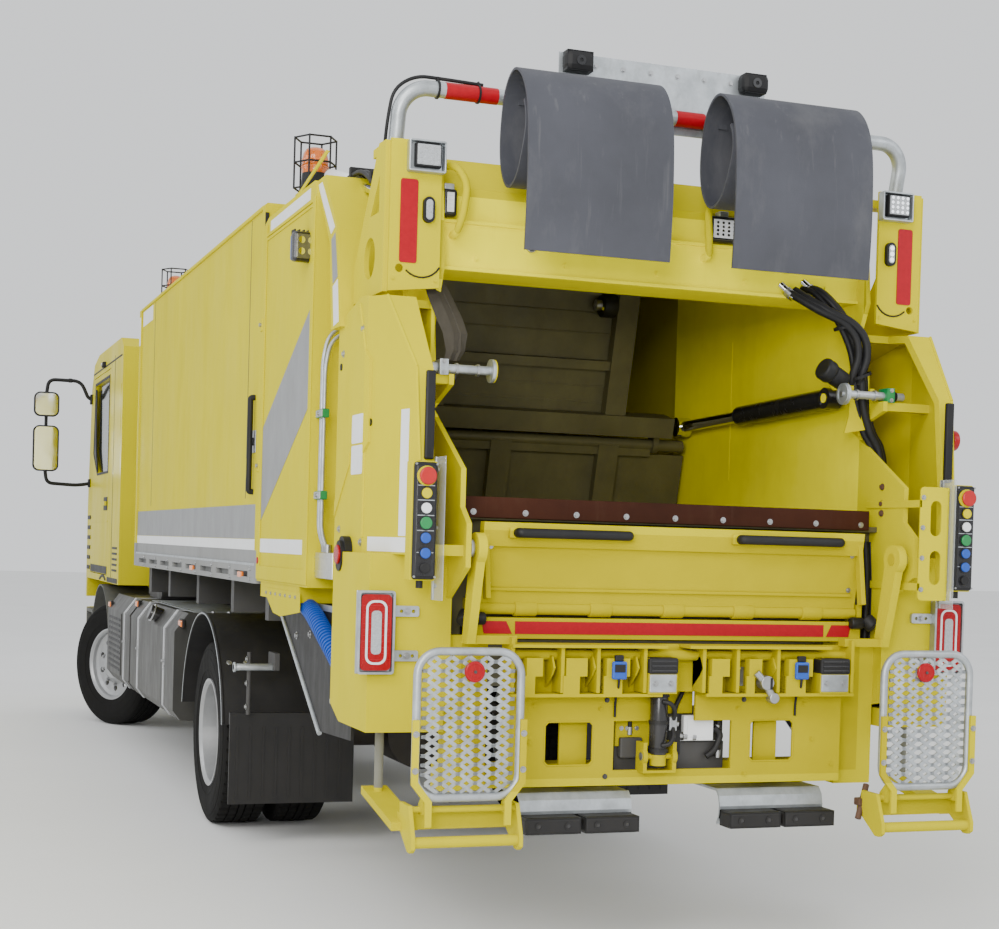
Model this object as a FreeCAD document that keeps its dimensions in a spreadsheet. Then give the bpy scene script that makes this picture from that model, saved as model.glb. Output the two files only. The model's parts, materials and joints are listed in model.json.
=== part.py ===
import FreeCAD, Part
import Sketcher
import math, os
from FreeCAD import Vector, Placement, Rotation

# Rear-loading refuse truck.  Millimetres.
# +Y points to the front of the truck, +X to its right-hand side, +Z up.
# The ground is Z = 0.  X = 0, Y = 0 is the middle of the outline.
os.makedirs("parts", exist_ok=True)
doc = FreeCAD.newDocument("refuse_truck")

# ---------------------------------------------------------------- sizes
sheet = doc.addObject("Spreadsheet::Sheet", "sizes")
_row = [0]


class E:
    """A size: its number, and the expression that gives it from the sheet."""

    def __init__(self, v, x):
        self.v, self.x = float(v), x

    def __float__(self):
        return self.v

    def _t(o):
        return o.x if isinstance(o, E) else repr(float(o))

    def __add__(self, o):
        return E(self.v + float(o), "(%s + %s)" % (self.x, E._t(o)))

    def __radd__(self, o):
        return E(float(o) + self.v, "(%s + %s)" % (E._t(o), self.x))

    def __sub__(self, o):
        return E(self.v - float(o), "(%s - %s)" % (self.x, E._t(o)))

    def __rsub__(self, o):
        return E(float(o) - self.v, "(%s - %s)" % (E._t(o), self.x))

    def __mul__(self, o):
        return E(self.v * float(o), "(%s * %s)" % (self.x, E._t(o)))

    __rmul__ = __mul__

    def __truediv__(self, o):
        return E(self.v / float(o), "(%s / %s)" % (self.x, E._t(o)))

    def __neg__(self):
        return E(-self.v, "(-1 * %s)" % self.x)


def size(alias, value):
    _row[0] += 1
    cell = "A%d" % _row[0]
    sheet.set(cell, "%g" % value)
    sheet.setAlias(cell, alias)
    return E(value, "sizes." + alias)


body_wide = size("body_wide", 2500)        # over the load body
body_top = size("body_top", 3208)          # roof of the load body
body_sill = size("body_sill", 1470)        # underside of the load body
body_wall = size("body_wall", 40)
seam = size("seam", -2785)                 # rear face of the load body
body_nose = size("body_nose", 1525)        # front face of the load body
gate_gap = size("gate_gap", 12)            # gap between body and tailgate
rear_line = size("rear_line", -1335)       # rear axle
front_line = size("front_line", 3865)      # front axle
tyre_rad = size("tyre_rad", 507)
rim_rad = size("rim_rad", 290)
tyre_wide = size("tyre_wide", 285)
kingpin_out = size("kingpin_out", 860)
hub_out = size("hub_out", 1035)            # middle of a front tyre
rail_in = size("rail_in", 345)
rail_out = size("rail_out", 430)
rail_low = size("rail_low", 860)
rail_high = size("rail_high", 1130)
cab_back = size("cab_back", 2830)
cab_nose = size("cab_nose", 5130)
cab_half = size("cab_half", 1195)
cab_floor = size("cab_floor", 1200)
cab_roof = size("cab_roof", 3170)
cab_wall = size("cab_wall", 50)
gate_inner = size("gate_inner", 930)       # inner face of the hopper's sides
gate_wall = size("gate_wall", 20)
lift_x = size("lift_x", 730)               # half width of the bin lift
board_in = size("board_in", 745)           # inner edge of a footboard
board_out = size("board_out", 1160)
doc.recompute()

W = body_wide / 2
Z0 = 0.0


def Y(v):
    """Metres ahead of the folded footboards, as millimetres in this frame."""
    return v * 1000.0 - 5125.0


# ---------------------------------------------------------------- helpers
OUT = []
_n = [0]


def nm(name):
    _n[0] += 1
    return "o%03d_%s" % (_n[0], name)


def bind(o, prop, val):
    if isinstance(val, E):
        o.setExpression(prop, val.x)
    else:
        obj = o
        setattr(obj, prop, float(val))


def base(o, x, y, z):
    o.Placement = Placement(Vector(float(x), float(y), float(z)), o.Placement.Rotation)
    for k, v in (("x", x), ("y", y), ("z", z)):
        if isinstance(v, E):
            o.setExpression("Placement.Base." + k, v.x)


def box(name, x0, x1, y0, y1, z0, z1):
    o = doc.addObject("Part::Box", nm(name))
    for p, a, b in (("Length", x0, x1), ("Width", y0, y1), ("Height", z0, z1)):
        d = b - a
        setattr(o, p, float(d))
        if isinstance(d, E):
            o.setExpression(p, d.x)
    base(o, x0, y0, z0)
    return o


def cyl(name, axis, lo, hi, a, b, r):
    """Cylinder along axis from lo to hi; a, b are the other two coordinates."""
    o = doc.addObject("Part::Cylinder", nm(name))
    d = hi - lo
    o.Radius = float(r)
    o.Height = float(d)
    if isinstance(r, E):
        o.setExpression("Radius", r.x)
    if isinstance(d, E):
        o.setExpression("Height", d.x)
    if axis == "x":
        o.Placement = Placement(Vector(0, 0, 0), Rotation(Vector(0, 1, 0), 90))
        base(o, lo, a, b)
    elif axis == "y":
        o.Placement = Placement(Vector(0, 0, 0), Rotation(Vector(1, 0, 0), -90))
        base(o, a, lo, b)
    else:
        base(o, a, b, lo)
    return o


def rod(name, p, q, r):
    """Round bar from point p to point q."""
    p, q = Vector(*p), Vector(*q)
    o = doc.addObject("Part::Cylinder", nm(name))
    o.Radius = float(r)
    o.Height = (q - p).Length
    o.Placement = Placement(p, Rotation(Vector(0, 0, 1), q - p))
    return o


def fuse(name, objs):
    if len(objs) == 1:
        return objs[0]
    o = doc.addObject("Part::MultiFuse", nm(name))
    o.Shapes = objs
    o.Refine = True
    return o


def cut(name, a, tools):
    t = tools[0] if len(tools) == 1 else fuse(name + "_tools", tools)
    o = doc.addObject("Part::Cut", nm(name))
    o.Base, o.Tool = a, t
    o.Refine = True
    return o


def comp(name, objs):
    o = doc.addObject("Part::Compound", nm(name))
    o.Links = objs
    return o


def mirror(name, src):
    o = doc.addObject("Part::Mirroring", nm(name))
    o.Source = src
    o.Normal = Vector(1, 0, 0)
    o.Base = Vector(0, 0, 0)
    return o


def both(name, src):
    return comp(name, [src, mirror(name + "_r", src)])


def loop_geo(sk, loop):
    """One closed outline of straight edges, or ("c", x, y, r), in a sketch."""
    if loop[0] == "c":
        _, x, y, r = loop
        g = sk.addGeometry(Part.Circle(Vector(float(x), float(y), 0), Vector(0, 0, 1), float(r)), False)
        sk.addConstraint(Sketcher.Constraint("Radius", g, float(r)))
        sk.addConstraint(Sketcher.Constraint("DistanceX", -1, 1, g, 3, float(x)))
        sk.addConstraint(Sketcher.Constraint("DistanceY", -1, 1, g, 3, float(y)))
        return
    n = len(loop)
    pts = [Vector(float(a), float(b), 0) for a, b in loop]
    geos = [sk.addGeometry(Part.LineSegment(pts[i], pts[(i + 1) % n]), False) for i in range(n)]
    for i in range(n):
        sk.addConstraint(Sketcher.Constraint("Coincident", geos[i], 2, geos[(i + 1) % n], 1))
    for i, (a, b) in enumerate(loop):
        for kind, v in (("DistanceX", a), ("DistanceY", b)):
            c = sk.addConstraint(Sketcher.Constraint(kind, -1, 1, geos[i], 1, float(v)))
            if isinstance(v, E):
                sk.setExpression("Constraints[%d]" % c, v.x)


PLANES = {"xy": "XY_Plane", "xz": "XZ_Plane", "yz": "YZ_Plane"}


def sketch(body, plane, off, loops):
    role = PLANES[plane]
    pl = [f for f in body.Origin.OriginFeatures if f.Role == role][0]
    sk = body.newObject("Sketcher::SketchObject", nm("sk"))
    sk.AttachmentSupport = [(pl, "")]
    sk.MapMode = "FlatFace"
    sk.AttachmentOffset = Placement(Vector(0, 0, float(off)), Rotation())
    if isinstance(off, E):
        sk.setExpression("AttachmentOffset.Base.z", off.x)
    for lp in loops:
        loop_geo(sk, lp)
    return sk


def pad(name, plane, loops, lo, hi):
    """A plate: outlines in a plane, from lo to hi along the plane's normal."""
    b = doc.addObject("PartDesign::Body", nm(name))
    off = lo if plane != "xz" else -hi
    sk = sketch(b, plane, off, loops)
    p = b.newObject("PartDesign::Pad", nm("pad"))
    p.Profile = sk
    d = hi - lo
    p.Length = float(d)
    if isinstance(d, E):
        p.setExpression("Length", d.x)
    sk.Visibility = False
    b.Tip = p
    return b


def turned(name, prof, x, y, z, flip=False):
    """A turned piece about the X axis: prof is (along, radius) pairs."""
    b = doc.addObject("PartDesign::Body", nm(name))
    sk = sketch(b, "xy", 0.0, [prof])
    r = b.newObject("PartDesign::Revolution", nm("rev"))
    r.Profile = sk
    r.ReferenceAxis = (sk, ["H_Axis"])
    r.Angle = 360.0
    b.Tip = r
    rot = Rotation(Vector(0, 0, 1), 180) if flip else Rotation()
    b.Placement = Placement(Vector(float(x), float(y), float(z)), rot)
    for k, v in (("x", x), ("y", y), ("z", z)):
        if isinstance(v, E):
            b.setExpression("Placement.Base." + k, v.x)
    return b


def path(pts, bend):
    """Straight runs joined by tangent arcs."""
    v = [Vector(*p) for p in pts]
    edges, last = [], v[0]
    for i in range(1, len(v) - 1):
        a, b = v[i - 1] - v[i], v[i + 1] - v[i]
        la, lb = a.Length, b.Length
        a.normalize()
        b.normalize()
        half = math.acos(max(-1, min(1, a.dot(b)))) / 2
        t = min(bend / math.tan(half), 0.49 * la, 0.49 * lb)
        r = t * math.tan(half)
        p, q = v[i] + a * t, v[i] + b * t
        m = a + b
        m.normalize()
        c = v[i] + m * (r / math.sin(half))
        mid = c + (v[i] - c).normalize() * r
        edges += [Part.LineSegment(last, p).toShape(), Part.Arc(p, mid, q).toShape()]
        last = q
    edges.append(Part.LineSegment(last, v[-1]).toShape())
    return Part.Wire(edges)


def pipe(name, pts, r, bend):
    w = path(pts, bend)
    v0, v1 = Vector(*pts[0]), Vector(*pts[1])
    prof = Part.Wire([Part.Circle(v0, v1 - v0, r).toShape()])
    s = w.makePipeShell([prof], True, False)
    o = doc.addObject("Part::Feature", nm(name))
    o.Shape = s
    return o


def arcplate(name, x0, x1, cy, cz, r0, r1, a0, a1):
    """A bent plate: a ring sector in the YZ plane, extruded along X."""
    f = math.pi / 180

    def P(r, a):
        return Vector(float(x0), cy + r * math.cos(a * f), cz + r * math.sin(a * f))
    m = (a0 + a1) / 2.0
    w = Part.Wire([Part.Arc(P(r1, a0), P(r1, m), P(r1, a1)).toShape(),
                   Part.LineSegment(P(r1, a1), P(r0, a1)).toShape(),
                   Part.Arc(P(r0, a1), P(r0, m), P(r0, a0)).toShape(),
                   Part.LineSegment(P(r0, a0), P(r1, a0)).toShape()])
    o = doc.addObject("Part::Feature", nm(name))
    o.Shape = Part.Face(w).extrude(Vector(float(x1) - float(x0), 0, 0))
    return o


def moved(name, src, rot, centre):
    """A copy of src turned by rot about centre."""
    o = doc.addObject("Part::Compound", nm(name))
    o.Links = [src]
    c = Vector(*[float(k) for k in centre])
    o.Placement = Placement(Vector(0, 0, 0), rot, c)
    return o


def node(name, obj):
    obj.Label = name
    OUT.append((name, obj))
    return obj


# ================================================================ chassis
rails = []
for s in (1,):
    web = pad("rail", "xz", [[(rail_in, rail_low), (rail_out, rail_low), (rail_out, rail_high), (rail_in, rail_high),
                              (rail_in, rail_high - 10), (rail_out - 10, rail_high - 10),
                              (rail_out - 10, rail_low + 10), (rail_in, rail_low + 10)]],
              Y(2.42), Y(9.95))
    rails.append(web)
    rails.append(mirror("rail_l", web))
cross = []
for i, y in enumerate((2.5, 3.15, 4.5, 5.6, 6.7, 7.8)):
    cross.append(box("cross", -rail_out + 9, rail_out - 9, Y(y), Y(y) + 90, rail_low + 40, rail_high - 40))
cross.append(box("cross", -rail_out + 9, rail_out - 9, Y(9.86), Y(9.95), rail_low + 40, rail_high - 40))
# bearers that carry the load body on the rails
for y in (2.5, 3.4, 4.5, 5.6, 6.45):
    cross.append(box("bearer", -1150, 1150, Y(y), Y(y) + 80, 1200, body_sill))
sub = [box("sub", 350, 430, Y(2.42), Y(6.6), 1130, 1210)]
sub.append(mirror("sub_l", sub[0]))
# brackets at the front that carry the pins the cab tilts on
tilt_y, tilt_z = Y(10.11), 1130.0
for sx in (-1, 1):
    for c in (339, 436):
        a, b = sorted((sx * (c - 6.0), sx * (c + 6.0)))
        sub += [box("tilt_plate", a, b, Y(9.80), tilt_y, 1090, 1160), cyl("tilt_round", "x", a, b, tilt_y, tilt_z, 40)]
    a, b = sorted((sx * 334.0, sx * 441.0))
    sub.append(cyl("tilt_pin", "x", a, b, tilt_y, tilt_z, 15))
frame = node("chassis_frame", fuse("chassis_frame", rails + cross + sub))

# engine and gearbox, one plain block under the cab
node("engine_block", box("engine", -300, 300, Y(8.2), Y(9.8), 640, 1150))

# rear axle: housing, tubes and stubs, on two leaf packs and a link block
ax = [cyl("axle", "x", -560, 560, rear_line, tyre_rad, 85),
      cyl("stub", "x", -1075, 1075, rear_line, tyre_rad, 59.95),
      cyl("diff", "y", rear_line - 190, rear_line + 230, 0, tyre_rad, 205)]
for sx in (-1, 1):
    ax.append(box("spring", sx * 390 - 35, sx * 390 + 35, rear_line - 620, rear_line + 620, 640, 700))
    ax.append(box("seat", sx * 390 - 45, sx * 390 + 45, rear_line - 90, rear_line + 90, 500, 650))
    for dy in (-600, 560):
        ax.append(box("shackle", sx * 390 - 30, sx * 390 + 30, rear_line + dy, rear_line + dy + 40, 690, 860))
node("rear_axle", fuse("rear_axle", ax))

# front axle beam with forked ends that carry the kingpins
fa = [box("beam", -770, 770, front_line - 30, front_line + 30, 400, 480)]
for sx in (-1, 1):
    kx = kingpin_out * sx
    fa += [box("fork", *sorted((sx * 795.0, sx * 910.0)), front_line - 30, front_line + 30, 600, 640),
           box("fork", *sorted((sx * 795.0, sx * 910.0)), front_line - 30, front_line + 30, 374, 414),
           box("riser", sx * 770 - 30, sx * 770 + 30, front_line - 30, front_line + 30, 374, 640),
           cyl("kingpin", "z", 400, 620, kx, front_line, 20),
           box("spring", sx * 390 - 35, sx * 390 + 35, front_line - 700, front_line + 700, 640, 690),
           box("seat", sx * 390 - 45, sx * 390 + 45, front_line - 80, front_line + 80, 470, 650)]
    for dy in (-680, 640):
        fa.append(box("shackle", sx * 390 - 30, sx * 390 + 30, front_line + dy, front_line + dy + 40, 680, 860))
node("front_axle", fuse("front_axle", fa))

# ---------------------------------------------------------------- wheels
tyre_prof = [(-0.5 * 285, 330), (-142, 440), (-132, 478), (-112, 498), (-80, 507), (80, 507), (112, 498),
             (132, 478), (142, 440), (142.5, 330), (118, 290), (-118, 290)]


def rim_prof(bore, dish):
    """Disc wheel: barrel, flanges and a disc; dish is where the disc sits."""
    return [(-118, 290), (118, 290), (126, 300), (134, 300), (134, 288), (118, 274), (dish + 40, 268),
            (dish + 28, 240), (dish + 22, 170), (dish + 60, 120), (dish + 60, bore),
            (dish - 60, bore), (dish - 60, 110), (dish + 4, 160), (dish + 8, 236), (dish + 10, 262), (-118, 274),
            (-134, 288), (-134, 300), (-126, 300)]


def hub_holes(name, wheel, x0, x1, cx, cy, cz):
    """Ten hand holes round the disc."""
    t = []
    for i in range(10):
        a = math.radians(36 * i + 18)
        t.append(cyl("hole", "x", x0, x1, cy + 205 * math.cos(a), cz + 205 * math.sin(a), 24))
    return cut(name, wheel, t)


R = float(tyre_rad)
yr, yf = float(rear_line), float(front_line)
for side, sx in (("left", -1), ("right", 1)):
    tyres, rims = [], []
    for k, c in enumerate((1067.0, 732.0)):
        cx = sx * c
        tyres.append(turned("tyre", tyre_prof, cx, rear_line, tyre_rad, flip=(sx < 0)))
        # the outer wheel is dished inwards, the inner one outwards
        flip = (sx < 0) if k else (sx > 0)
        d = 60 if k else 70
        rims.append(turned("rim", rim_prof(60.0, d), cx, rear_line, tyre_rad, flip=flip))
    lo, hi = sorted((sx * 560.0, sx * 1230.0))
    tool = rims
    node("rear_%s_rims" % side, hub_holes("rims", fuse("twin", rims), lo, hi, 0, yr, R))
    node("rear_%s_tyres" % side, comp("tyres", tyres))

turn = Rotation(Vector(0, 0, 1), 28)
for side, sx in (("left", -1), ("right", 1)):
    k = (float(kingpin_out) * sx, yf, R)
    cx = hub_out * sx
    ty = turned("tyre", [(a * 1.07 if b > 350 else a, b) for a, b in tyre_prof], cx, front_line, tyre_rad, flip=(sx < 0))
    rm = turned("rim", rim_prof(35.0, 50), cx, front_line, tyre_rad, flip=(sx < 0))
    lo, hi = sorted((sx * 900.0, sx * 1230.0))
    rm = hub_holes("rim", rm, lo, hi, 0, yf, R)
    node("front_%s_tyre" % side, moved("tyre", ty, turn, k))
    node("front_%s_rim" % side, moved("rim", rm, turn, k))
    # knuckle: boss on the kingpin, brake drum, stub and steering arm
    kn = [cyl("boss", "z", 420, 594, kingpin_out * sx, front_line, 46)]
    kn = [cut("boss", fuse("kb", kn + [cyl("drum", "x", *sorted((sx * 880.0, sx * 960.0)), front_line, tyre_rad, 85),
                                       box("arm", kingpin_out * sx - 18, kingpin_out * sx + 18,
                                           front_line - 250, front_line - 20, 425, 455)]),
              [cyl("pin_bore", "z", 300, 700, kingpin_out * sx, front_line, 20.05)])]
    kn.append(cyl("stub", "x", *sorted((sx * 940.0, sx * 1150.0)), front_line, tyre_rad, 34.95))
    kk = cut("knuckle", fuse("knuckle", kn), [cyl("ball_hole", "z", 400, 480, kingpin_out * sx, front_line - 225, 12.05)])
    node("%s_knuckle" % side, moved("knuckle", kk, turn, k))

# tie rod between the two steering arms, at the steered rest position
bl = Vector(-float(kingpin_out), yf, 0) + turn.multVec(Vector(0, -225, 0))
br = Vector(float(kingpin_out), yf, 0) + turn.multVec(Vector(0, -225, 0))
tie = [rod("tie", (bl.x, bl.y, 395), (br.x, br.y, 395), 17),
       cyl("eye", "z", 375, 418, bl.x, bl.y, 26), cyl("eye", "z", 375, 418, br.x, br.y, 26),
       cyl("ball", "z", 400, 462, bl.x, bl.y, 12), cyl("ball", "z", 400, 462, br.x, br.y, 12)]
node("tie_rod", fuse("tie_rod", tie))

# ---------------------------------------------------------------- load body
outer = box("body", -W + 10, W - 10, seam, body_nose, body_sill, body_top)
inner = box("hollow", -W + 10 + body_wall, W - 10 - body_wall, seam - 50, body_nose - 80, body_sill + 60,
            body_top - body_wall)
corner = []
for sx in (-1, 1):
    a, b = sorted((sx * 1215.0, sx * 1250.0))
    corner.append(box("front_post", a, b, body_nose - 75, body_nose, body_sill, body_top - 8))
    corner.append(box("rear_post", a, b, seam, seam + 60, body_sill, body_top - 8))
# lugs on the roof for the lifting cylinders, and hinge lugs at the top rear edge
lug = []
hin_y, hin_z = Y(2.30), 3160.0             # tailgate hinge
for sx in (-1, 1):
    for c in (785.0, 915.0):
        lug.append(pad("cyl_lug", "yz", [[(Y(3.42), 3190), (Y(3.70), 3190), (Y(3.60), 3350), (Y(3.52), 3350)]],
                       sx * c - 10, sx * c + 10))
    lug.append(cyl("cyl_pin", "x", sx * 850 - 75, sx * 850 + 75, Y(3.56), 3310, 20))
    lug.append(fuse("hinge_arm", [pad("arm", "yz", [[(Y(2.285), 3187), (Y(2.36), 3250), (Y(2.55), 3250),
                                                     (Y(2.55), 3190), (Y(2.36), 3190), (Y(2.348), 3150),
                                                     (Y(2.31), 3134)]], sx * 1075 - 12, sx * 1075 + 12),
                                  cyl("arm_eye", "x", sx * 1075 - 12, sx * 1075 + 12, hin_y, hin_z, 30),
                                  cyl("hinge_pin", "x", sx * 1075 - 60, sx * 1075 + 60, hin_y, hin_z, 15)]))
shell = cut("load_body", fuse("body_shell", [outer] + corner), [inner])

# slotted side rails below the load body
sr = box("side_rail", W - 75, W, seam + 5, body_nose, 1385, body_sill)
slots = [box("slot", W - 30, W + 10, Y(2.55 + i * 0.5), Y(2.55 + i * 0.5) + 360, 1412, 1440) for i in range(8)]
sr = cut("side_rail", sr, slots)
node("load_body", fuse("load_body", [shell, sr, mirror("side_rail_l", sr)] + lug))

# hydraulic tank and filter column between cab and body
hyd = [box("tank", -1000, -380, Y(6.95), Y(7.62), 1150, 1950),
       box("stack", 620, 1000, Y(7.0), Y(7.55), 1150, 2900),
       box("foot", -1000, 1000, Y(6.98), Y(7.55), 1130, 1150)]
node("hydraulic_tank", fuse("hydraulic_tank", hyd))

# fuel tank and equipment box on the left, battery and air box on the right
oct_l = [(-1235, 520), (-1185, 455), (-640, 455), (-600, 520), (-600, 1080), (-640, 1125), (-1150, 1125),
         (-1235, 1010)]
tank = pad("tank", "xz", [oct_l], Y(4.85), Y(6.85))
tank2 = pad("box", "xz", [oct_l], Y(6.93), Y(8.22))
hang = [box("hanger", -605, -430, Y(y), Y(y) + 70, 880, 980) for y in (5.2, 6.3, 7.2, 7.9)]
node("left_tank_and_box", comp("left_tank", [fuse("fuel_tank", [tank, hang[0], hang[1]]),
                                             fuse("equipment_box", [tank2, hang[2], hang[3]])]))
oct_r = [(-a, b) for a, b in oct_l]
rb = pad("box", "xz", [oct_r], Y(5.0), Y(6.4))
hr = [box("hanger", 430, 605, Y(y), Y(y) + 70, 880, 980) for y in (5.3, 6.0)]
node("battery_box", fuse("battery_box", [rb] + hr))
# exhaust silencer on the right behind the front wheel
node("silencer", fuse("silencer", [cyl("can", "y", Y(6.75), Y(7.95), 880, 760, 240),
                                   box("hang", 430, 700, Y(7.0), Y(7.06), 880, 960),
                                   box("hang", 430, 700, Y(7.6), Y(7.66), 880, 960)]))

# mudguards over the rear wheels
fend = [arcplate("arch", -1245, -585, yr, R + 20, 640, 650, 8, 172),
        box("brace", -600, -430, yr - 25, yr + 25, 1100, 1128),
        box("stem", -700, -585, yr - 25, yr + 25, 1100, 1169)]
mf = box("flap", -1245, -585, Y(2.93), Y(2.945), 230, 700)
mfb = box("hanger", -1240, -590, Y(2.945), Y(2.985), 640, 700)
mfs = box("arm", -600, -430, Y(2.945), Y(2.985), 862, 900)
mfa = box("arm", -640, -595, Y(2.945), Y(2.985), 650, 900)
node("rear_mudguards", both("rear_mudguards", comp("mudguard", [fuse("arch", fend),
                                                                 fuse("mud_flap", [mf, mfb, mfs, mfa])])))

# ---------------------------------------------------------------- front end below the cab
arch = arcplate("arch", -1210, -830, yf, R, 655, 668, 20, 180)
step1 = cut("steps", box("steps", -1200, -830, Y(9.66), Y(10.11), 420, 930),
            [box("tread", -1300, -960, Y(9.70), Y(10.07), 500, 690),
             box("tread", -1300, -960, Y(9.70), Y(10.07), 750, 900)])
join = box("join", -1100, -430, Y(9.70), Y(9.76), 880, 925)
rearpost = box("post", -1205, -830, Y(8.27), Y(8.335), 560, 1000)
join2 = box("join", -840, -430, Y(8.27), Y(8.335), 900, 960)
tie_bar = box("tie_bar", -1200, -835, Y(9.60), Y(9.67), 725, 765)
ff = fuse("front_wing", [arch, step1, join, rearpost, join2, tie_bar])
node("front_wings", both("front_wings", ff))
bp = pad("bumper", "xy", [[(-1200, Y(10.12)), (-1150, Y(10.23)), (-900, Y(10.29)), (900, Y(10.29)), (1150, Y(10.23)),
                           (1200, Y(10.12)), (1130, Y(10.12)), (880, Y(10.21)), (-880, Y(10.21)), (-1130, Y(10.12))]],
         400, 935)
grl = [box("slot", -520, 520, Y(10.2), Y(10.4), 560 + i * 90, 600 + i * 90) for i in range(3)]
bpb = [box("bracket", sx * 390 - 35, sx * 390 + 35, Y(9.95), Y(10.25), 870, 925) for sx in (-1, 1)]
# towing jaw under the bumper: two ears with an upright hole for a 40 mm pin
jaw = [box("jaw_back", -50, 50, Y(10.13), Y(10.215), 300, 450)]
for z in (300, 345):
    jaw.append(box("jaw_ear", -50, 50, Y(10.13), Y(10.285), z, z + 25))
jaw = cut("jaw", fuse("jaw", jaw), [cyl("jaw_bore", "z", 290, 380, 0, Y(10.24), 20)])
node("front_bumper", fuse("front_bumper", [cut("bumper", bp, grl), jaw] + bpb))

# ================================================================ cab
ch = float(cab_half)
prof = [(Y(7.955), 1200), (Y(10.17), 1200), (Y(10.17), 1030), (Y(10.25), 1030), (Y(10.255), 1900), (Y(10.12), 2900),
        (Y(9.95), 3110), (Y(9.6), 3170), (Y(8.1), 3170), (Y(7.955), 3090)]
cb = pad("cab", "yz", [prof], -cab_half, cab_half)
t = 50
iprof = [(Y(7.955) + t, 1250), (Y(10.20), 1250), (Y(10.205), 1900), (Y(10.075), 2880), (Y(9.93), 3060),
         (Y(9.6), 3120), (Y(8.13), 3120), (Y(7.955) + t, 3060)]
ci = pad("cab_hollow", "yz", [iprof], -cab_half + cab_wall, cab_half - cab_wall)
ws = box("screen_hole", -1040, 1040, Y(10.0), Y(10.4), 1990, 2860)
cuts = [ci, ws]
for sx in (-1, 1):
    a, b = sorted((sx * 1120.0, sx * 1260.0))
    cuts.append(box("doorway", a, b, Y(8.72), Y(9.94), 1255, 2985))
cabs = cut("cab_shell", cb, cuts)
pegs = []
for sx in (-1, 1):
    a, b = sorted((sx * 352.0, sx * 423.0))
    pegs += [box("pivot_foot", a, b, Y(10.08), Y(10.14), 1130, 1205), cyl("pivot_eye", "x", a, b, tilt_y, tilt_z, 30)]
node("cab_shell", cut("cab_shell", fuse("cab_shell", [cabs] + pegs), [cyl("foot_bore", "x", -440, 440, tilt_y, tilt_z, 15.05)]))
wsp = pad("screen", "yz", [[(Y(10.243) - 2, 1990), (Y(10.243) + 4, 1990), (Y(10.126) + 4, 2860), (Y(10.126) - 2, 2860)]],
          -1040, 1040)
node("windscreen", wsp)
# dashboard, two seats, wheel and column
ins = [box("dash", -1140, 1140, Y(9.72), Y(10.19), 1250, 1960),
       rod("column", (-480, Y(9.78), 1700), (-480, Y(9.58), 2040), 35)]
wheel = doc.addObject("Part::Torus", nm("steering_wheel"))
wheel.Radius1, wheel.Radius2 = 215, 18
wheel.Placement = Placement(Vector(-480, Y(9.58), 2040), Rotation(Vector(1, 0, 0), 35))
spoke = rod("spoke", (-690, Y(9.58), 2040), (-270, Y(9.58), 2040), 12)
seats = []
for x in (-480, 480):
    seats.append(fuse("seat", [box("base", x - 220, x + 220, Y(8.55), Y(9.02), 1250, 1560),
                               box("cushion", x - 250, x + 250, Y(8.5), Y(9.08), 1560, 1690),
                               pad("back", "yz", [[(Y(8.5), 1600), (Y(8.64), 1600), (Y(8.50), 2330), (Y(8.38), 2330)]],
                                   x - 240, x + 240),
                               pad("head", "yz", [[(Y(8.37), 2320), (Y(8.47), 2320), (Y(8.44), 2560), (Y(8.34), 2560)]],
                                   x - 140, x + 140)]))
node("cab_interior", comp("cab_interior", [fuse("dashboard", ins + [wheel, spoke])] + seats))


def mirror_set(sx):
    x = lambda v: sx * v
    hs = []
    a, b = sorted((x(1485), x(1715)))
    hs.append(box("upper_head", a, b, Y(10.03), Y(10.11), 2640, 2900))
    hs.append(box("lower_head", a, b, Y(10.03), Y(10.11), 2150, 2580))
    hs.append(pipe("arm", [(x(1212), Y(10.08), 2815), (x(1290), Y(10.075), 2980), (x(1585), Y(10.07), 2980),
                           (x(1600), Y(10.07), 2880)], 16, 60))
    hs.append(pipe("arm", [(x(1212), Y(10.115), 2057), (x(1300), Y(10.10), 2030), (x(1575), Y(10.07), 2040),
                           (x(1600), Y(10.07), 2170)], 16, 60))
    hs.append(cyl("link", "z", 2570, 2650, x(1600), Y(10.07), 14))
    a, b = sorted((x(1195), x(1222)))
    hs.append(box("flange", a, b, Y(10.05), Y(10.115), 2770, 2860))
    hs.append(box("flange", a, b, Y(10.08), Y(10.15), 2020, 2095))
    return fuse("mirrors", hs)


node("mirrors", comp("mirrors", [mirror_set(-1), mirror_set(1)]))

# doors: one slab each as thick as the cab wall, window cut, glass in it
for side, sx in (("left", -1), ("right", 1)):
    a, b = sorted((sx * 1146.0, sx * 1195.0))
    slab = box("door", a, b, Y(8.727), Y(9.933), 1262, 2978)
    c, d = sorted((sx * 1100.0, sx * 1250.0))
    win = pad("win", "yz", [[(Y(8.80), 2130), (Y(9.55), 2130), (Y(9.86), 2320), (Y(9.80), 2910), (Y(8.80), 2910)]],
              c, d)
    hx = sorted((sx * 1195.0, sx * 1218.0))
    hnd = box("handle", hx[0], hx[1], Y(8.80), Y(8.98), 1840, 1875)
    node("%s_door" % side, fuse("door", [cut("door", slab, [win]), hnd]))
    g0, g1 = sorted((sx * 1164.0, sx * 1170.0))
    node("%s_door_glass" % side,
         pad("glass", "yz", [[(Y(8.80), 2130), (Y(9.55), 2130), (Y(9.86), 2320), (Y(9.80), 2910), (Y(8.80), 2910)]],
             g0, g1))

# ================================================================ tailgate
gi = float(gate_inner)
gw = gi + float(gate_wall)
front = Y(2.328)
lv_y, lv_z = Y(0.146), 1590.0              # pivot of the bin lift
pv = (Y(1.95), 2950.0)                     # pivot of the press
cp = (Y(0.66), 2270.0)                     # rear pivot of the press cylinders
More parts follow.
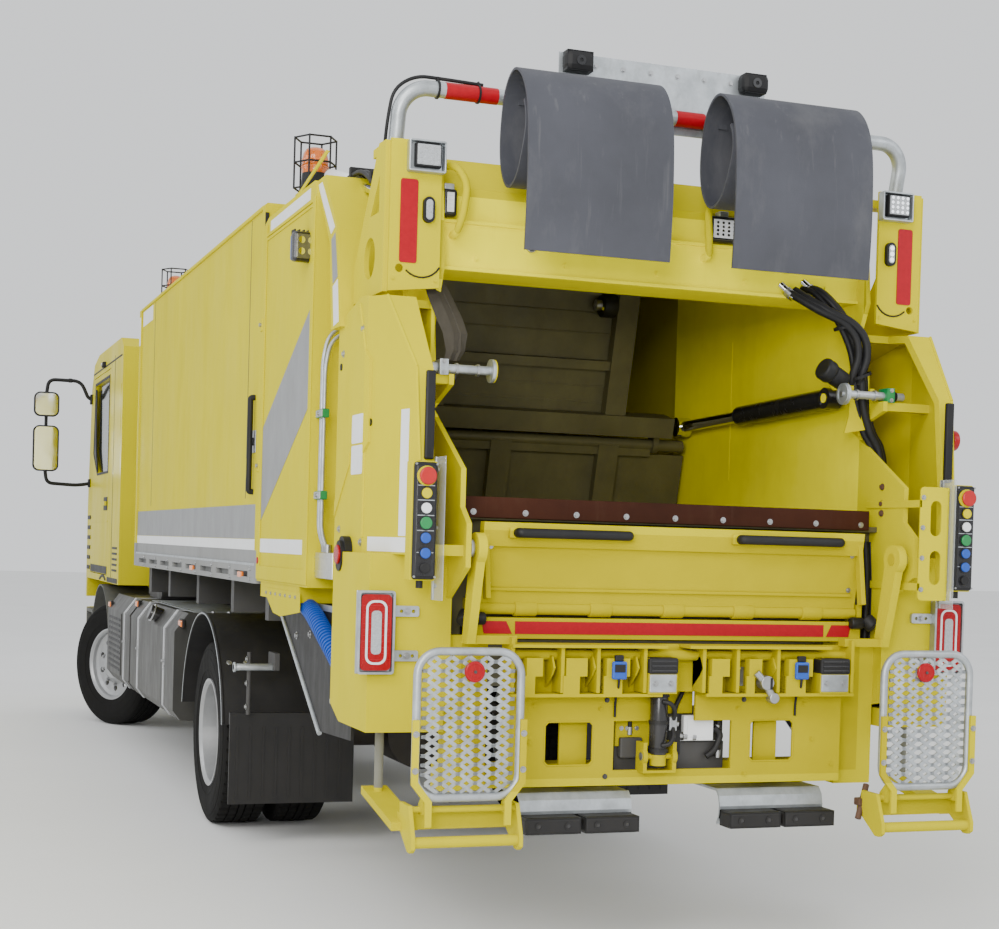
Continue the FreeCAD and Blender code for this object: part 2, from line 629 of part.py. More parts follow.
# side walls: one plate each side, with the sloping rear edge of the hopper
wall_out = [(front, 1400), (front, 3120), (Y(0.55), 3120), (Y(0.50), 2660), (Y(0.60), 2450),
            (Y(0.58), 2310), (Y(0.45), 2300), (Y(0.43), 2240), (Y(0.345), 2240), (Y(0.345), 2200), (Y(0.58), 2125),
            (Y(0.17), 1880), (Y(0.17), 1740), (Y(0.09), 1680), (Y(0.09), 1520),
            (Y(0.30), 1400), (Y(0.30), 1000), (Y(0.9), 900), (Y(1.75), 900), (Y(2.25), 1300)]
wall = pad("side_wall", "yz", [wall_out, ("c", pv[0], pv[1], 30.05)], -gw, -gi)
# hollow pillar outside the wall, ahead of the recess
pil_o = [(front, 1400), (front, 3100), (Y(2.25), 3120), (Y(1.33), 3120), (Y(1.29), 3060), (Y(1.29), 1400)]
pil = pad("pillar", "yz", [pil_o], -float(W), -gw)
pil_i = box("pillar_hollow", -float(W) + 18, -gw + 1, Y(1.31), front - 25, 1425, 3080)
pil = cut("pillar", pil, [pil_i])
# diagonal member behind the pillar, and the rear side cover
diag = pad("diagonal", "yz", [[(Y(1.35), 3120), (Y(1.20), 3120), (Y(0.98), 2860), (Y(0.90), 2460), (Y(1.04), 2460),
                               (Y(1.10), 2820)]], -1235, -gw)
cov_o = [(Y(0.98), 1560), (Y(0.98), 2480), (Y(0.66), 2545), (Y(0.40), 2525), (Y(0.16), 2240), (Y(0.12), 1900),
         (Y(0.12), 1560)]
cov = cut("cover", pad("cover", "yz", [cov_o], -1215, -gw),
          [pad("cover_taper", "xy", [[(-1225, Y(0.545)), (-1215, Y(0.545)), (-1130, Y(0.12)), (-1130, Y(0.11)), (-1225, Y(0.11))]],
               1550, 2600)])
cov_i = cut("cover_hollow", pad("cover_hollow", "yz", [[(Y(0.95), 1580), (Y(0.95), 2450), (Y(0.66), 2515),
                                                        (Y(0.42), 2495), (Y(0.19), 2225), (Y(0.15), 1890),
                                                        (Y(0.15), 1580)]], -1197, -gw - 14),
            [pad("hollow_taper", "xy", [[(-1225, Y(0.55)), (-1197, Y(0.55)), (-1112, Y(0.125)), (-1112, Y(0.11)),
                                         (-1225, Y(0.11))]], 1550, 2600)])
cov_r = box("cover_mouth", -1070, -gw, Y(0.10), Y(0.545), 1600, 2600)
cov = cut("cover", cov, [cov_i, cov_r])
rail = box("cover_rail", -1174, -gw + 1, Y(0.36), Y(0.41), 2203, 2238)
low = pad("lower_post", "yz", [[(Y(0.84), 1561), (Y(0.84), 960), (Y(0.70), 900), (Y(0.30), 900), (Y(0.30), 1561)]],
          -float(W), -gw)
low_i = box("lower_hollow", -float(W) + 18, -gw + 1, Y(0.33), Y(0.81), 975, 1542)
low = cut("lower_post", low, [low_i])
box_prof = box("side_beam", -1215, -gw, Y(0.84), Y(1.29), 1445, 1550)
tray = box("drip_tray", -1245, -gw, Y(1.45), Y(2.25), 1330, 1401)
ear = [pad("ear", "yz", [[(Y(2.0), 3119), (Y(2.30), 3119), (Y(2.325), 3150), (Y(2.30), 3190), (Y(2.27), 3190)]],
           -1075 + o, -1075 + o + 16) for o in (-46, 30)]
ear = [cut("ear", e, [cyl("ear_bore", "x", -1200, -1000, hin_y, hin_z, 15.05)]) for e in ear]
pin_l = cyl("lift_pivot", "x", -gi - 5, -862, lv_y, lv_z, 24)
pin_c = cyl("cyl_pivot", "x", -gi - 5, -830, cp[0], cp[1], 20)
bea = box("beacon_foot", -1170, -1030, Y(1.88), Y(2.06), 3119, 3200)
side = fuse("gate_side", [wall, pil, diag, cov, rail, low, box_prof, tray, pin_l, pin_c, bea] + ear)
node("tailgate_left_side", side)
node("tailgate_right_side", mirror("gate_side_r", side))

# hopper trough: loading edge, rear skin, curved bottom and ramp between the walls
tro = [arcplate("trough", -gi, gi, Y(1.28), 1690, 690, 702, 180, 300)]
ex = Y(1.28) + 690 * math.cos(math.radians(300))
ez = 1690 + 690 * math.sin(math.radians(300))
tro.append(pad("ramp", "yz", [[(ex - 3, ez - 12), (front, 1405), (front, 1420), (ex - 3, ez + 2)]], -gi, gi))
tro.append(box("loading_edge", -gi, gi, Y(0.362), Y(0.592), 1700, 1722))
tro.append(box("edge_wall", -gi, gi, Y(0.578), Y(0.592), 1685, 1710))
tro.append(box("rear_skin", -gi, gi, Y(0.42), Y(0.44), 1240, 1705))
node("hopper_trough", fuse("hopper_trough", tro))

# rear frame under the hopper: the beam with the red strips, cheeks and low beam
rf = [box("strip_beam", -845, 845, Y(0.33), Y(0.42), 1250, 1330)]
for sx in (-1, 1):
    a, b = sorted((sx * 760.0, sx * gi))
    rf.append(box("cheek", a, b, Y(0.36), Y(0.42), 665, 1260))
    a, b = sorted((sx * 826.0, sx * 846.0))
    rf.append(cut("flap_bracket", box("flap_bracket", a, b, Y(0.325), Y(0.42), 1320, 1400),
                  [cyl("bracket_bore", "x", a - 5, b + 5, Y(0.352), 1365, 12.05)]))
rf.append(box("low_beam", -gi, gi, Y(0.41), Y(0.50), 668, 760))
node("rear_frame", fuse("rear_frame", rf))

# top of the tailgate: roof, sloping sheet, box beam over the opening, lugs for the lifting rods
tp = [pad("roof", "yz", [[(front, 3098), (front, 3120), (Y(0.70), 3120), (Y(0.60), 2990), (Y(0.60), 2860),
                          (Y(0.625), 2860), (Y(0.625), 2985), (Y(0.715), 3098)]], -gi, gi),
      box("beam", -gi, gi, Y(0.58), Y(0.82), 2665, 2862)]
for sx in (-1, 1):
    for o_ in (-52, 36):
        x = sx * 850.0 + o_
        tp.append(pad("lug", "yz", [[(Y(1.90), 3119), (Y(2.16), 3119), (Y(2.09), 3335), (Y(2.01), 3335)]], x, x + 16))
node("tailgate_top", fuse("tailgate_top", tp))

# lamp plates standing behind the tailgate's top corners, on lattice brackets
plate = pad("lamp_plate", "xz", [[(-1162, 2552), (-960, 2575), (-960, 3126), (-1162, 3126)], ("c", -1120, 2640, 16)],
            Y(0.470), Y(0.486))
brk = pad("lattice", "yz", [[(Y(0.485), 3120), (Y(0.58), 3125), (Y(0.91), 2690), (Y(0.91), 2550), (Y(0.485), 2550)],
                            [(Y(0.56), 3000), (Y(0.56), 2860), (Y(0.68), 2860)],
                            ("c", Y(0.68), 2700, 80)], -1180, -1160)
stay = box("stay", -1175, -gw, Y(0.60), Y(0.68), 3085, 3119)
lpo = fuse("lamp_plate", [plate, brk, stay])
node("lamp_plates", both("lamp_plates", lpo))
lamp = box("work_lamp", -1098, -958, Y(0.425), Y(0.470), 3004, 3122)
refl = box("red_strip", -1126, -1049, Y(0.462), Y(0.470), 2660, 2976)
oval = box("oval_lamp", -1033, -991, Y(0.44), Y(0.470), 2819, 2914)
node("upper_lamps", both("upper_lamps", comp("lamps", [lamp, oval, refl])))

# bent tube over the top, carrying two rolled rubber flaps and a plate
arch_t = pipe("arch_tube", [(-1110, Y(0.60), 3126), (-1110, Y(0.545), 3345), (1110, Y(0.545), 3345),
                            (1110, Y(0.60), 3126)], 30, 150)
feet = [box("tube_foot", sx * 1110 - 50, sx * 1110 + 50, Y(0.56), Y(0.64), 3120, 3132) for sx in (-1, 1)]
node("top_tube", fuse("top_tube", [arch_t] + feet + [box("plate", -457, 457, Y(0.570), Y(0.576), 3285, 3560),
                                                     box("buffer", -441, -331, Y(0.520), Y(0.580), 3482, 3560),
                                                     box("buffer", 343, 438, Y(0.520), Y(0.580), 3482, 3560)]))


def rolled(x0, x1):
    """Rubber sheet hung over the tube: its section is swept across the width."""
    pts = [(0.190, 2.700), (0.178, 2.90), (0.180, 3.09), (0.205, 3.26), (0.270, 3.365), (0.355, 3.405), (0.432, 3.368),
           (0.482, 3.255), (0.490, 3.120), (0.455, 3.020), (0.385, 2.968), (0.312, 2.988), (0.252, 3.065), (0.215, 3.160),
           (0.240, 3.265)]
    w = 10.0
    P = [Vector(x0, Y(a), b * 1000) for a, b in pts]
    c = Part.BSplineCurve()
    c.interpolate(P)
    n = 60
    us = [c.FirstParameter + (c.LastParameter - c.FirstParameter) * i / n for i in range(n + 1)]
    o, q = [], []
    for u in us:
        p, tg = c.value(u), c.tangent(u)[0]
        nn = Vector(1, 0, 0).cross(tg)
        nn.normalize()
        o.append(p + nn * (w / 2))
        q.append(p - nn * (w / 2))
    co, cq = Part.BSplineCurve(), Part.BSplineCurve()
    co.interpolate(o)
    cq.interpolate(q)
    wire = Part.Wire([co.toShape(), Part.LineSegment(o[-1], q[-1]).toShape(), cq.toShape(),
                      Part.LineSegment(q[0], o[0]).toShape()])
    fobj = doc.addObject("Part::Feature", nm("rubber"))
    fobj.Shape = Part.Face(wire).extrude(Vector(x1 - x0, 0, 0))
    return fobj


def hung(x0, x1):
    strap = [box("hanger", x0 + 60, x0 + 100, Y(0.458), Y(0.515), 3300, 3350),
             box("hanger", x1 - 100, x1 - 60, Y(0.458), Y(0.515), 3300, 3350)]
    return fuse("rubber", [rolled(x0, x1)] + strap)


node("rubber_flaps", comp("rubber_flaps", [hung(-722, -130), hung(136, 742)]))

# control boxes on the rear of the side covers
cbx = [box("box", -1170, -1080, Y(0.03), Y(0.12), 1470, 1895)]
for i, z in enumerate((1845, 1780, 1725, 1668, 1612, 1558, 1505)):
    cbx.append(cyl("button", "y", Y(0.005) if i == 0 else Y(0.015), Y(0.032), -1128, z, 34 if i == 0 else 17))
node("control_boxes", both("control_boxes", fuse("control_box", cbx)))

# tail lamps in galvanised frames
tl = fuse("tail_lamp", [box("lamp", -1298, -1158, Y(0.262), Y(0.300), 1118, 1425),
                        box("lug", -1160, -1060, Y(0.285), Y(0.300), 1165, 1205),
                        box("lug", -1160, -1060, Y(0.285), Y(0.300), 1330, 1370)])
node("tail_lamps", both("tail_lamps", tl))

# grab tubes with end discs at the sides of the hopper
gt = fuse("grab", [cyl("tube", "x", -1045, -765, Y(0.385), 2264, 17), cyl("disc", "x", -775, -765, Y(0.385), 2264, 45),
                   box("clamp", -985, -955, Y(0.350), Y(0.420), 2238, 2294)])
node("grab_handles", both("grab_handles", gt))

# splash guards under the tailgate's sides
sp = pad("skirt", "yz", [[(Y(2.30), 1329), (Y(1.40), 780), (Y(0.88), 800), (Y(0.88), 1329)]], -1150, -1140)
spb = box("tie", -1145, -gw, Y(1.50), Y(1.60), 1312, 1330)
node("splash_guards", both("splash_guards", fuse("skirt", [sp, spb])))

# underrun plates and rubber blocks
ub = []
for sx in (-1, 1):
    a, b = sorted((sx * 190.0, sx * 650.0))
    ub.append(pad("plate", "yz", [[(Y(0.50), 666), (Y(0.286), 666), (Y(0.262), 640), (Y(0.252), 600), (Y(0.258), 560),
                                   (Y(0.275), 526), (Y(0.284), 528), (Y(0.267), 562), (Y(0.261), 600), (Y(0.271), 635),
                                   (Y(0.291), 656), (Y(0.50), 656)]], a, b))
    for c in (305, 545):
        a2, b2 = sorted((sx * (c - 111.0), sx * (c + 111.0)))
        ub.append(box("block", a2, b2, Y(0.17), Y(0.259), 525, 585))
    a3, b3 = sorted((sx * 380.0, sx * 440.0))
    ub.append(box("leg", a3, b3, Y(0.274), Y(0.44), 532, 560))
    ub.append(box("riser", a3, b3, Y(0.40), Y(0.44), 532, 657))
node("underrun_guard", fuse("underrun_guard", ub))

# fixed foot of each folding footboard
foot = [box("rail", -1165, -745, Y(0.10), Y(0.15), 572, 632),
        cyl("board_pin", "x", -1160, -750, Y(0.03), 655, 12),
        cyl("tread_bar", "x", -1155, -755, Y(-0.008), 543, 20),
        pad("slant", "yz", [[(Y(0.10), 570), (Y(0.10), 600), (Y(0.52), 672), (Y(0.52), 642)]], -1200, -1100),
        cyl("post", "z", 640, 900, -1150, Y(0.46), 17)]
for x in (-1165, -760):
    foot.append(pad("cheek", "yz", [[(Y(0.12), 672), (Y(0.012), 672), (Y(-0.036), 556), (Y(-0.036), 522), (Y(-0.014), 508),
                                     (Y(0.014), 508), (Y(0.12), 576)]], x, x + 15))
node("footboard_feet", both("footboard_feet", fuse("board_foot", foot)))

# warning beacons: base, amber lens and wire cage


def hexagon(x, y, r):
    return [(x + r * math.cos(math.radians(60 * i)), y + r * math.sin(math.radians(60 * i))) for i in range(6)]


def beacon(x, y, z):
    pc = [cyl("base", "z", z, z + 50, x, y, 68), cyl("lens", "z", z + 50, z + 160, x, y, 55),
          pad("cage", "xy", [hexagon(x, y, 104), hexagon(x, y, 94)], z + 240, z + 250),
          pad("foot", "xy", [hexagon(x, y, 104), ("c", x, y, 60)], z + 10, z + 16)]
    for px, py in hexagon(x, y, 98):
        pc.append(box("post", px - 4, px + 4, py - 4, py + 4, z + 12, z + 245))
    return fuse("beacon", pc)


node("rear_beacon", beacon(-1100, Y(1.97), 3200))
node("front_beacon", beacon(-1060, Y(6.25), 3208))

# lifting cylinders on the roof
lug_y, lug_z = Y(2.05), 3300.0
pv_y, pv_z = Y(3.56), 3310.0
brl, rds = [], []
for sx in (-1, 1):
    x = sx * 850.0
    d = Vector(0, lug_y - pv_y, lug_z - pv_z)
    L = d.Length
    d.normalize()
    P0 = Vector(x, pv_y, pv_z)
    b_ = fuse("barrel", [rod("barrel", tuple(P0 + d * 30), tuple(P0 + d * 1000), 42),
                         cyl("eye", "x", x - 48, x + 48, pv_y, pv_z, 38)])
    brl.append(cut("barrel", b_, [cyl("eye_bore", "x", x - 60, x + 60, pv_y, pv_z, 20.05),
                                  rod("bore", tuple(P0 + d * 90), tuple(P0 + d * 1010), 25.05)]))
    rds.append(fuse("rod", [rod("rod", tuple(P0 + d * 560), tuple(P0 + d * (L - 10)), 25),
                            cyl("eye", "x", x - 28, x + 28, lug_y, lug_z, 34)]))
node("lift_barrels", comp("lift_barrels", brl))
node("lift_rods", comp("lift_rods", rds))

# ejector plate inside the load body
ej = pad("ejector", "yz", [[(Y(5.95), 1560), (Y(6.05), 1560), (Y(6.35), 2300), (Y(6.35), 3130), (Y(6.29), 3130),
                            (Y(6.29), 2320)]], -1170, 1170)
node("ejector_plate", ej)

# ================================================================ press
ph = math.radians(14)


def along(r, off=0.0):
    """Point at radius r down the press from its pivot, off to the rear."""
    return (pv[0] + math.sin(ph) * r - math.cos(ph) * off, pv[1] - math.cos(ph) * r - math.sin(ph) * off)


def bar(name, x0, x1, r0, r1, o0, o1):
    return pad(name, "yz", [[along(r0, o0), along(r0, o1), along(r1, o1), along(r1, o0)]], x0, x1)


pf = [bar("panel", -430, 430, 60, 700, -20, 0), bar("top_beam", -430, 430, 60, 110, 0, 50)]
for sx in (-1, 1):
    a, b = sorted((sx * 422.0, sx * 532.0))
    pf.append(bar("arm", a, b, -45, 790, -45, 60))
pf.append(bar("rib", -430, 430, 430, 475, 0, 45))
pf.append(bar("beam", -790, 790, 690, 790, -50, 90))
pf.append(cyl("pivot", "x", -948, 948, pv[0], pv[1], 30))
hinge = along(840, 20)
lugs = []
for sx in (-1, 1):
    a, b = sorted((sx * 706.0, sx * 736.0))
    pf += [bar("lug", a, b, 770, 840, -16, 56), cyl("lug_eye", "x", a, b, hinge[0], hinge[1], 42)]
    lugs.append(cyl("lug_bore", "x", a - 4, b + 4, hinge[0], hinge[1], 30.05))
node("press_frame", cut("press_frame", fuse("press_frame", pf), lugs))
sb = [cyl("hinge", "x", -880, 880, hinge[0], hinge[1], 30)]
sb.append(bar("blade", -905, 905, 890, 1455, -12, 5))
sb.append(bar("neck", -700, 700, 840, 895, -5, 45))
for x in (-640, -103, 467):
    sb.append(bar("leg", x - 54, x + 54, 845, 1430, 0, 55))
node("sweep_blade", fuse("sweep_blade", sb))

# press cylinders along the hopper's sides
rp = along(740, 20)
pb, prd = [], []
for sx in (-1, 1):
    x = sx * 868.0
    d = Vector(0, rp[0] - cp[0], rp[1] - cp[1])
    L = d.Length
    d.normalize()
    P0 = Vector(x, cp[0], cp[1])
    b_ = fuse("barrel", [rod("barrel", tuple(P0 + d * 25), tuple(P0 + d * 820), 45),
                         cyl("eye", "x", x - 34, x + 34, cp[0], cp[1], 45)])
    pb.append(cut("barrel", b_, [cyl("eye_bore", "x", x - 60, x + 60, cp[0], cp[1], 20.05),
                                 rod("bore", tuple(P0 + d * 70), tuple(P0 + d * 830), 28.05)]))
    prd.append(fuse("rod", [rod("rod", tuple(P0 + d * 620), tuple(P0 + d * (L - 20)), 28),
                            cyl("eye", "x", x - 36, x + 36, rp[0], rp[1], 48)]))
node("press_barrels", comp("press_barrels", pb))
node("press_rods", comp("press_rods", prd))

# ================================================================ hopper flap
fl = [pad("skin", "yz", [[(Y(0.362), 1385), (Y(0.337), 1385), (Y(0.290), 1690), (Y(0.315), 1690)]], -818, 818),
      cyl("tube", "x", -820, 820, Y(0.352), 1365, 24),
      cyl("stub", "x", -846, 846, Y(0.352), 1365, 12),
      pad("top_rail", "yz", [[(Y(0.330), 1610), (Y(0.285), 1600), (Y(0.272), 1690), (Y(0.315), 1692)]], -818, 818)]
for x0, x1 in ((-688, -239), (248, 688)):
    fl.append(pipe("handle", [(x0, Y(0.285), 1655), (x0, Y(0.235), 1650), (x1, Y(0.235), 1650), (x1, Y(0.285), 1655)],
                   13, 25))
node("hopper_flap", fuse("hopper_flap", fl))

# ================================================================ bin lift
lx = float(lift_x)
bf = []
for sx in (-1, 1):
    a, b = sorted((sx * 866.0, sx * 900.0))
    arm = fuse("arm", [pad("arm", "yz", [[(lv_y - 45, lv_z), (lv_y + 45, lv_z), (Y(0.262), 1236), (Y(0.200), 1236)]],
                           a, b), cyl("boss", "x", a, b, lv_y, lv_z, 58)])
    bf.append(cut("arm", arm, [cyl("arm_bore", "x", a - 10, b + 10, lv_y, lv_z, 24.05)]))
    a, b = sorted((sx * 700.0, sx * 900.0))
    bf.append(box("tie", a, b, Y(0.205), Y(0.255), 1236, 1268))
bf.append(cyl("cross_tube", "x", -lx, lx, Y(0.240), 1196, 20))
comb = pad("comb_plate", "xz", [[(-lx, 690), (lx, 690), (lx, 1238), (-lx, 1238)],
                                [(-553, 785), (-538, 770), (-369, 770), (-354, 785), (-354, 922), (-369, 937), (-538, 937), (-553, 922)],
                                [(320, 790), (335, 775), (500, 775), (515, 790), (515, 923), (500, 938), (335, 938), (320, 923)],
                                [(-268, 748), (238, 748), (238, 938), (78, 938), (78, 1052), (-110, 1052), (-110, 938), (-268, 938)],
                                [(-380, 1062), (-322, 1062), (-322, 1150), (-380, 1150)],
                                [(222, 1062), (292, 1062), (292, 1150), (222, 1150)]], Y(0.27), Y(0.285))
bf.append(comb)
for x in (-530, -384, -190, 60, 206, 384):
    bf.append(box("rib", x, x + 14, Y(0.18), Y(0.272), 1055, 1238))
for x in (-lx, lx - 14):
    bf.append(box("end_rib", x, x + 14, Y(0.18), Y(0.272), 1055, 1262))
for a, b in ((-lx, -97), (-2, 620)):
    bf.append(box("lip", a, b, Y(0.165), Y(0.272), 1226, 1238))
bf.append(box("shelf", -lx, -110, Y(0.176), Y(0.272), 1040, 1052))
bf.append(box("shelf", 78, lx, Y(0.176), Y(0.272), 1040, 1052))
for sx in (-1, 1):
    a, b = sorted((sx * 40.0, sx * lx))
    bf.append(box("skirt", a, b, Y(0.285), Y(0.32), 690, 702))
for x0, x1 in ((-669, -604), (-510, -424), (-345, -249), (98, 175), (260, 316), (435, 542)):
    bf.append(pad("tooth", "yz", [[(Y(0.176), 1118), (Y(0.176), 1187), (Y(0.215), 1187), (Y(0.215), 1118)]], x0, x1))
    bf.append(pad("web", "yz", [[(Y(0.176), 1052), (Y(0.176), 1120), (Y(0.188), 1120), (Y(0.188), 1052)]], x0 - 10, x1 - 30))
for x0, x1 in ((-173, -52), (573, 703)):
    bf.append(box("block", x0, x1, Y(0.170), Y(0.240), 1052, 1189))
bf.append(box("cyl_ear", -165, -149, Y(0.215), Y(0.285), 748, 860))
bf.append(box("cyl_ear", -41, -25, Y(0.215), Y(0.285), 748, 860))
bf.append(cyl("clamp_cylinder", "z", 770, 1060, -95, Y(0.235), 32))
bf.append(cyl("clamp_pin", "x", -165, -25, Y(0.235), 805, 12))
bf.append(box("clamp_foot", -165, -25, Y(0.215), Y(0.285), 742, 752))
node("bin_lift", fuse("bin_lift", bf))

# ================================================================ footboards
bi, bo = float(board_in), float(board_out)


def footboard(sx):
    a, b = bi + 12, bo - 12
    z0, z1 = 700.0, 1222.0
    fr = pipe("frame", [((a + b) / 2, Y(0), z0), (b, Y(0), z0), (b, Y(0), z1), (a, Y(0), z1), (a, Y(0), z0),
                        ((a + b) / 2 - 0.5, Y(0), z0)], 14, 60)
    mesh = box("mesh", a, b, Y(-0.003), Y(0.003), z0, z1)
    lugs = []
    for x in (a + 40, b - 60):
        l_ = pad("lug", "yz", [[(Y(-0.012), 700), (Y(0.012), 700), (Y(0.052), 668), (Y(0.052), 640), (Y(0.010), 640)]],
                 x, x + 16)
        lugs.append(cut("lug", l_, [cyl("lug_bore", "x", x - 5, x + 21, Y(0.03), 655, 12.05)]))
    return fuse("footboard", [fr, mesh] + lugs + [cyl("reflector", "y", Y(-0.026), Y(0.003), (a + b) / 2, 1149, 38)])


fbo = footboard(1)
node("right_footboard", fbo)
node("left_footboard", mirror("footboard_l", fbo))

print("nodes", len(OUT))
doc.recompute()

bad = []
for o in doc.Objects:
    if "Invalid" in o.State or "Error" in o.State:
        bad.append((o.Name, o.State))
for name, o in OUT:
    s = o.Shape
    if s.isNull() or not s.isValid() or not s.Solids:
        bad.append((name, "shape"))
if bad:
    for b in bad:
        print("BAD", b)
    raise SystemExit(1)
for name, o in OUT:
    s = o.Shape
    s.exportStep("parts/%s.step" % name)
    bb = s.BoundBox
    print("%-22s solids %2d vol %8.4f m3  x %7.0f %7.0f  y %7.0f %7.0f  z %6.0f %6.0f" % (
        name, len(s.Solids), s.Volume / 1e9, bb.XMin, bb.XMax, bb.YMin, bb.YMax, bb.ZMin, bb.ZMax))
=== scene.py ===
import bpy, bmesh, math, json
from mathutils import Vector, Matrix, noise
from mathutils.geometry import tessellate_polygon

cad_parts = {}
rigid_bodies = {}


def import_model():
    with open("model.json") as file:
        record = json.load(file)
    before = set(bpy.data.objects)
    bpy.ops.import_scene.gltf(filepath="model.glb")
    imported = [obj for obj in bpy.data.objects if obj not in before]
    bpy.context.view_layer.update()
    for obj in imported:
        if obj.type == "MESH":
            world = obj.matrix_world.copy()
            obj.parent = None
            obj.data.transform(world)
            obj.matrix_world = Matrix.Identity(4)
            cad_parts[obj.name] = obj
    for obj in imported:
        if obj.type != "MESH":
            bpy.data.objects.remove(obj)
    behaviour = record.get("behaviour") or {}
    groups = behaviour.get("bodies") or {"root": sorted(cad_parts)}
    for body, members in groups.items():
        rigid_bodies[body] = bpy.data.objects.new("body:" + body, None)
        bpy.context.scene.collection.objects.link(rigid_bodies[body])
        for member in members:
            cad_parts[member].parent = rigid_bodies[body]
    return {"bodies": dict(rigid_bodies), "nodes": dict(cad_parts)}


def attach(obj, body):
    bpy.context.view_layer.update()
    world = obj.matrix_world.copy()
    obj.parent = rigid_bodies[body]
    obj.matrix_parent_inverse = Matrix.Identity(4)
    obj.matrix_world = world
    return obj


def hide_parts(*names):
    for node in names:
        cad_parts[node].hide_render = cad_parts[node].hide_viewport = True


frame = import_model()
nodes, bodies = frame["nodes"], frame["bodies"]
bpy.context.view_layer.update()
scene = bpy.context.scene
Q = 5.125


def Y(v):
    return v - Q


# ------------------------------------------------------------------ materials
def new_mat(name):
    m = bpy.data.materials.new(name)
    m.use_nodes = True
    nt = m.node_tree
    b = nt.nodes["Principled BSDF"]
    return m, nt, b


def N(nt, kind, **kw):
    n = nt.nodes.new(kind)
    for k, v in kw.items():
        if k.startswith("i_"):
            n.inputs[k[2:].replace("_", " ")].default_value = v
        else:
            setattr(n, k, v)
    return n


def L(nt, a, b):
    nt.links.new(a, b)


def coords(nt):
    return N(nt, "ShaderNodeTexCoord").outputs["Object"]


def noise_tex(nt, scale, detail=4, rough=0.55, stretch=None, src=None):
    c = src or coords(nt)
    if stretch:
        mp = N(nt, "ShaderNodeMapping")
        mp.inputs["Scale"].default_value = stretch
        L(nt, c, mp.inputs["Vector"])
        c = mp.outputs["Vector"]
    n = N(nt, "ShaderNodeTexNoise")
    n.inputs["Scale"].default_value = scale
    n.inputs["Detail"].default_value = detail
    n.inputs["Roughness"].default_value = rough
    L(nt, c, n.inputs["Vector"])
    return n.outputs["Fac"]


def ramp(nt, src, lo, hi, a=0.0, b=1.0):
    m = N(nt, "ShaderNodeMapRange")
    m.inputs["From Min"].default_value = lo
    m.inputs["From Max"].default_value = hi
    m.inputs["To Min"].default_value = a
    m.inputs["To Max"].default_value = b
    L(nt, src, m.inputs["Value"])
    return m.outputs["Result"]


def math_node(nt, op, a, b):
    m = N(nt, "ShaderNodeMath", operation=op)
    for i, v in enumerate((a, b)):
        if isinstance(v, (int, float)):
            m.inputs[i].default_value = v
        else:
            L(nt, v, m.inputs[i])
    return m.outputs[0]


def mix(nt, fac, a, b):
    m = N(nt, "ShaderNodeMix", data_type="RGBA")
    if isinstance(fac, (int, float)):
        m.inputs["Factor"].default_value = fac
    else:
        L(nt, fac, m.inputs["Factor"])
    for k, v in (("A", a), ("B", b)):
        s = [i for i in m.inputs if i.name == k and i.type == "RGBA"][0]
        if isinstance(v, (tuple, list)):
            s.default_value = tuple(v) + ((1.0,) if len(v) == 3 else ())
        else:
            L(nt, v, s)
    return [o for o in m.outputs if o.type == "RGBA"][0]


def bump(nt, bsdf, height, strength, dist):
    b = N(nt, "ShaderNodeBump")
    b.inputs["Strength"].default_value = strength
    b.inputs["Distance"].default_value = dist
    L(nt, height, b.inputs["Height"])
    L(nt, b.outputs["Normal"], bsdf.inputs["Normal"])


def inside(nt, box):
    """1 inside a box of object coordinates (None leaves a side open), else 0."""
    c = coords(nt)
    sep = N(nt, "ShaderNodeSeparateXYZ")
    L(nt, c, sep.inputs[0])
    f = None
    for i, pair in enumerate(box):
        if pair is None:
            continue
        for lim, op in ((pair[0], "GREATER_THAN"), (pair[1], "LESS_THAN")):
            if lim is None:
                continue
            s = math_node(nt, op, sep.outputs[i], lim)
            f = s if f is None else math_node(nt, "MULTIPLY", f, s)
    return f


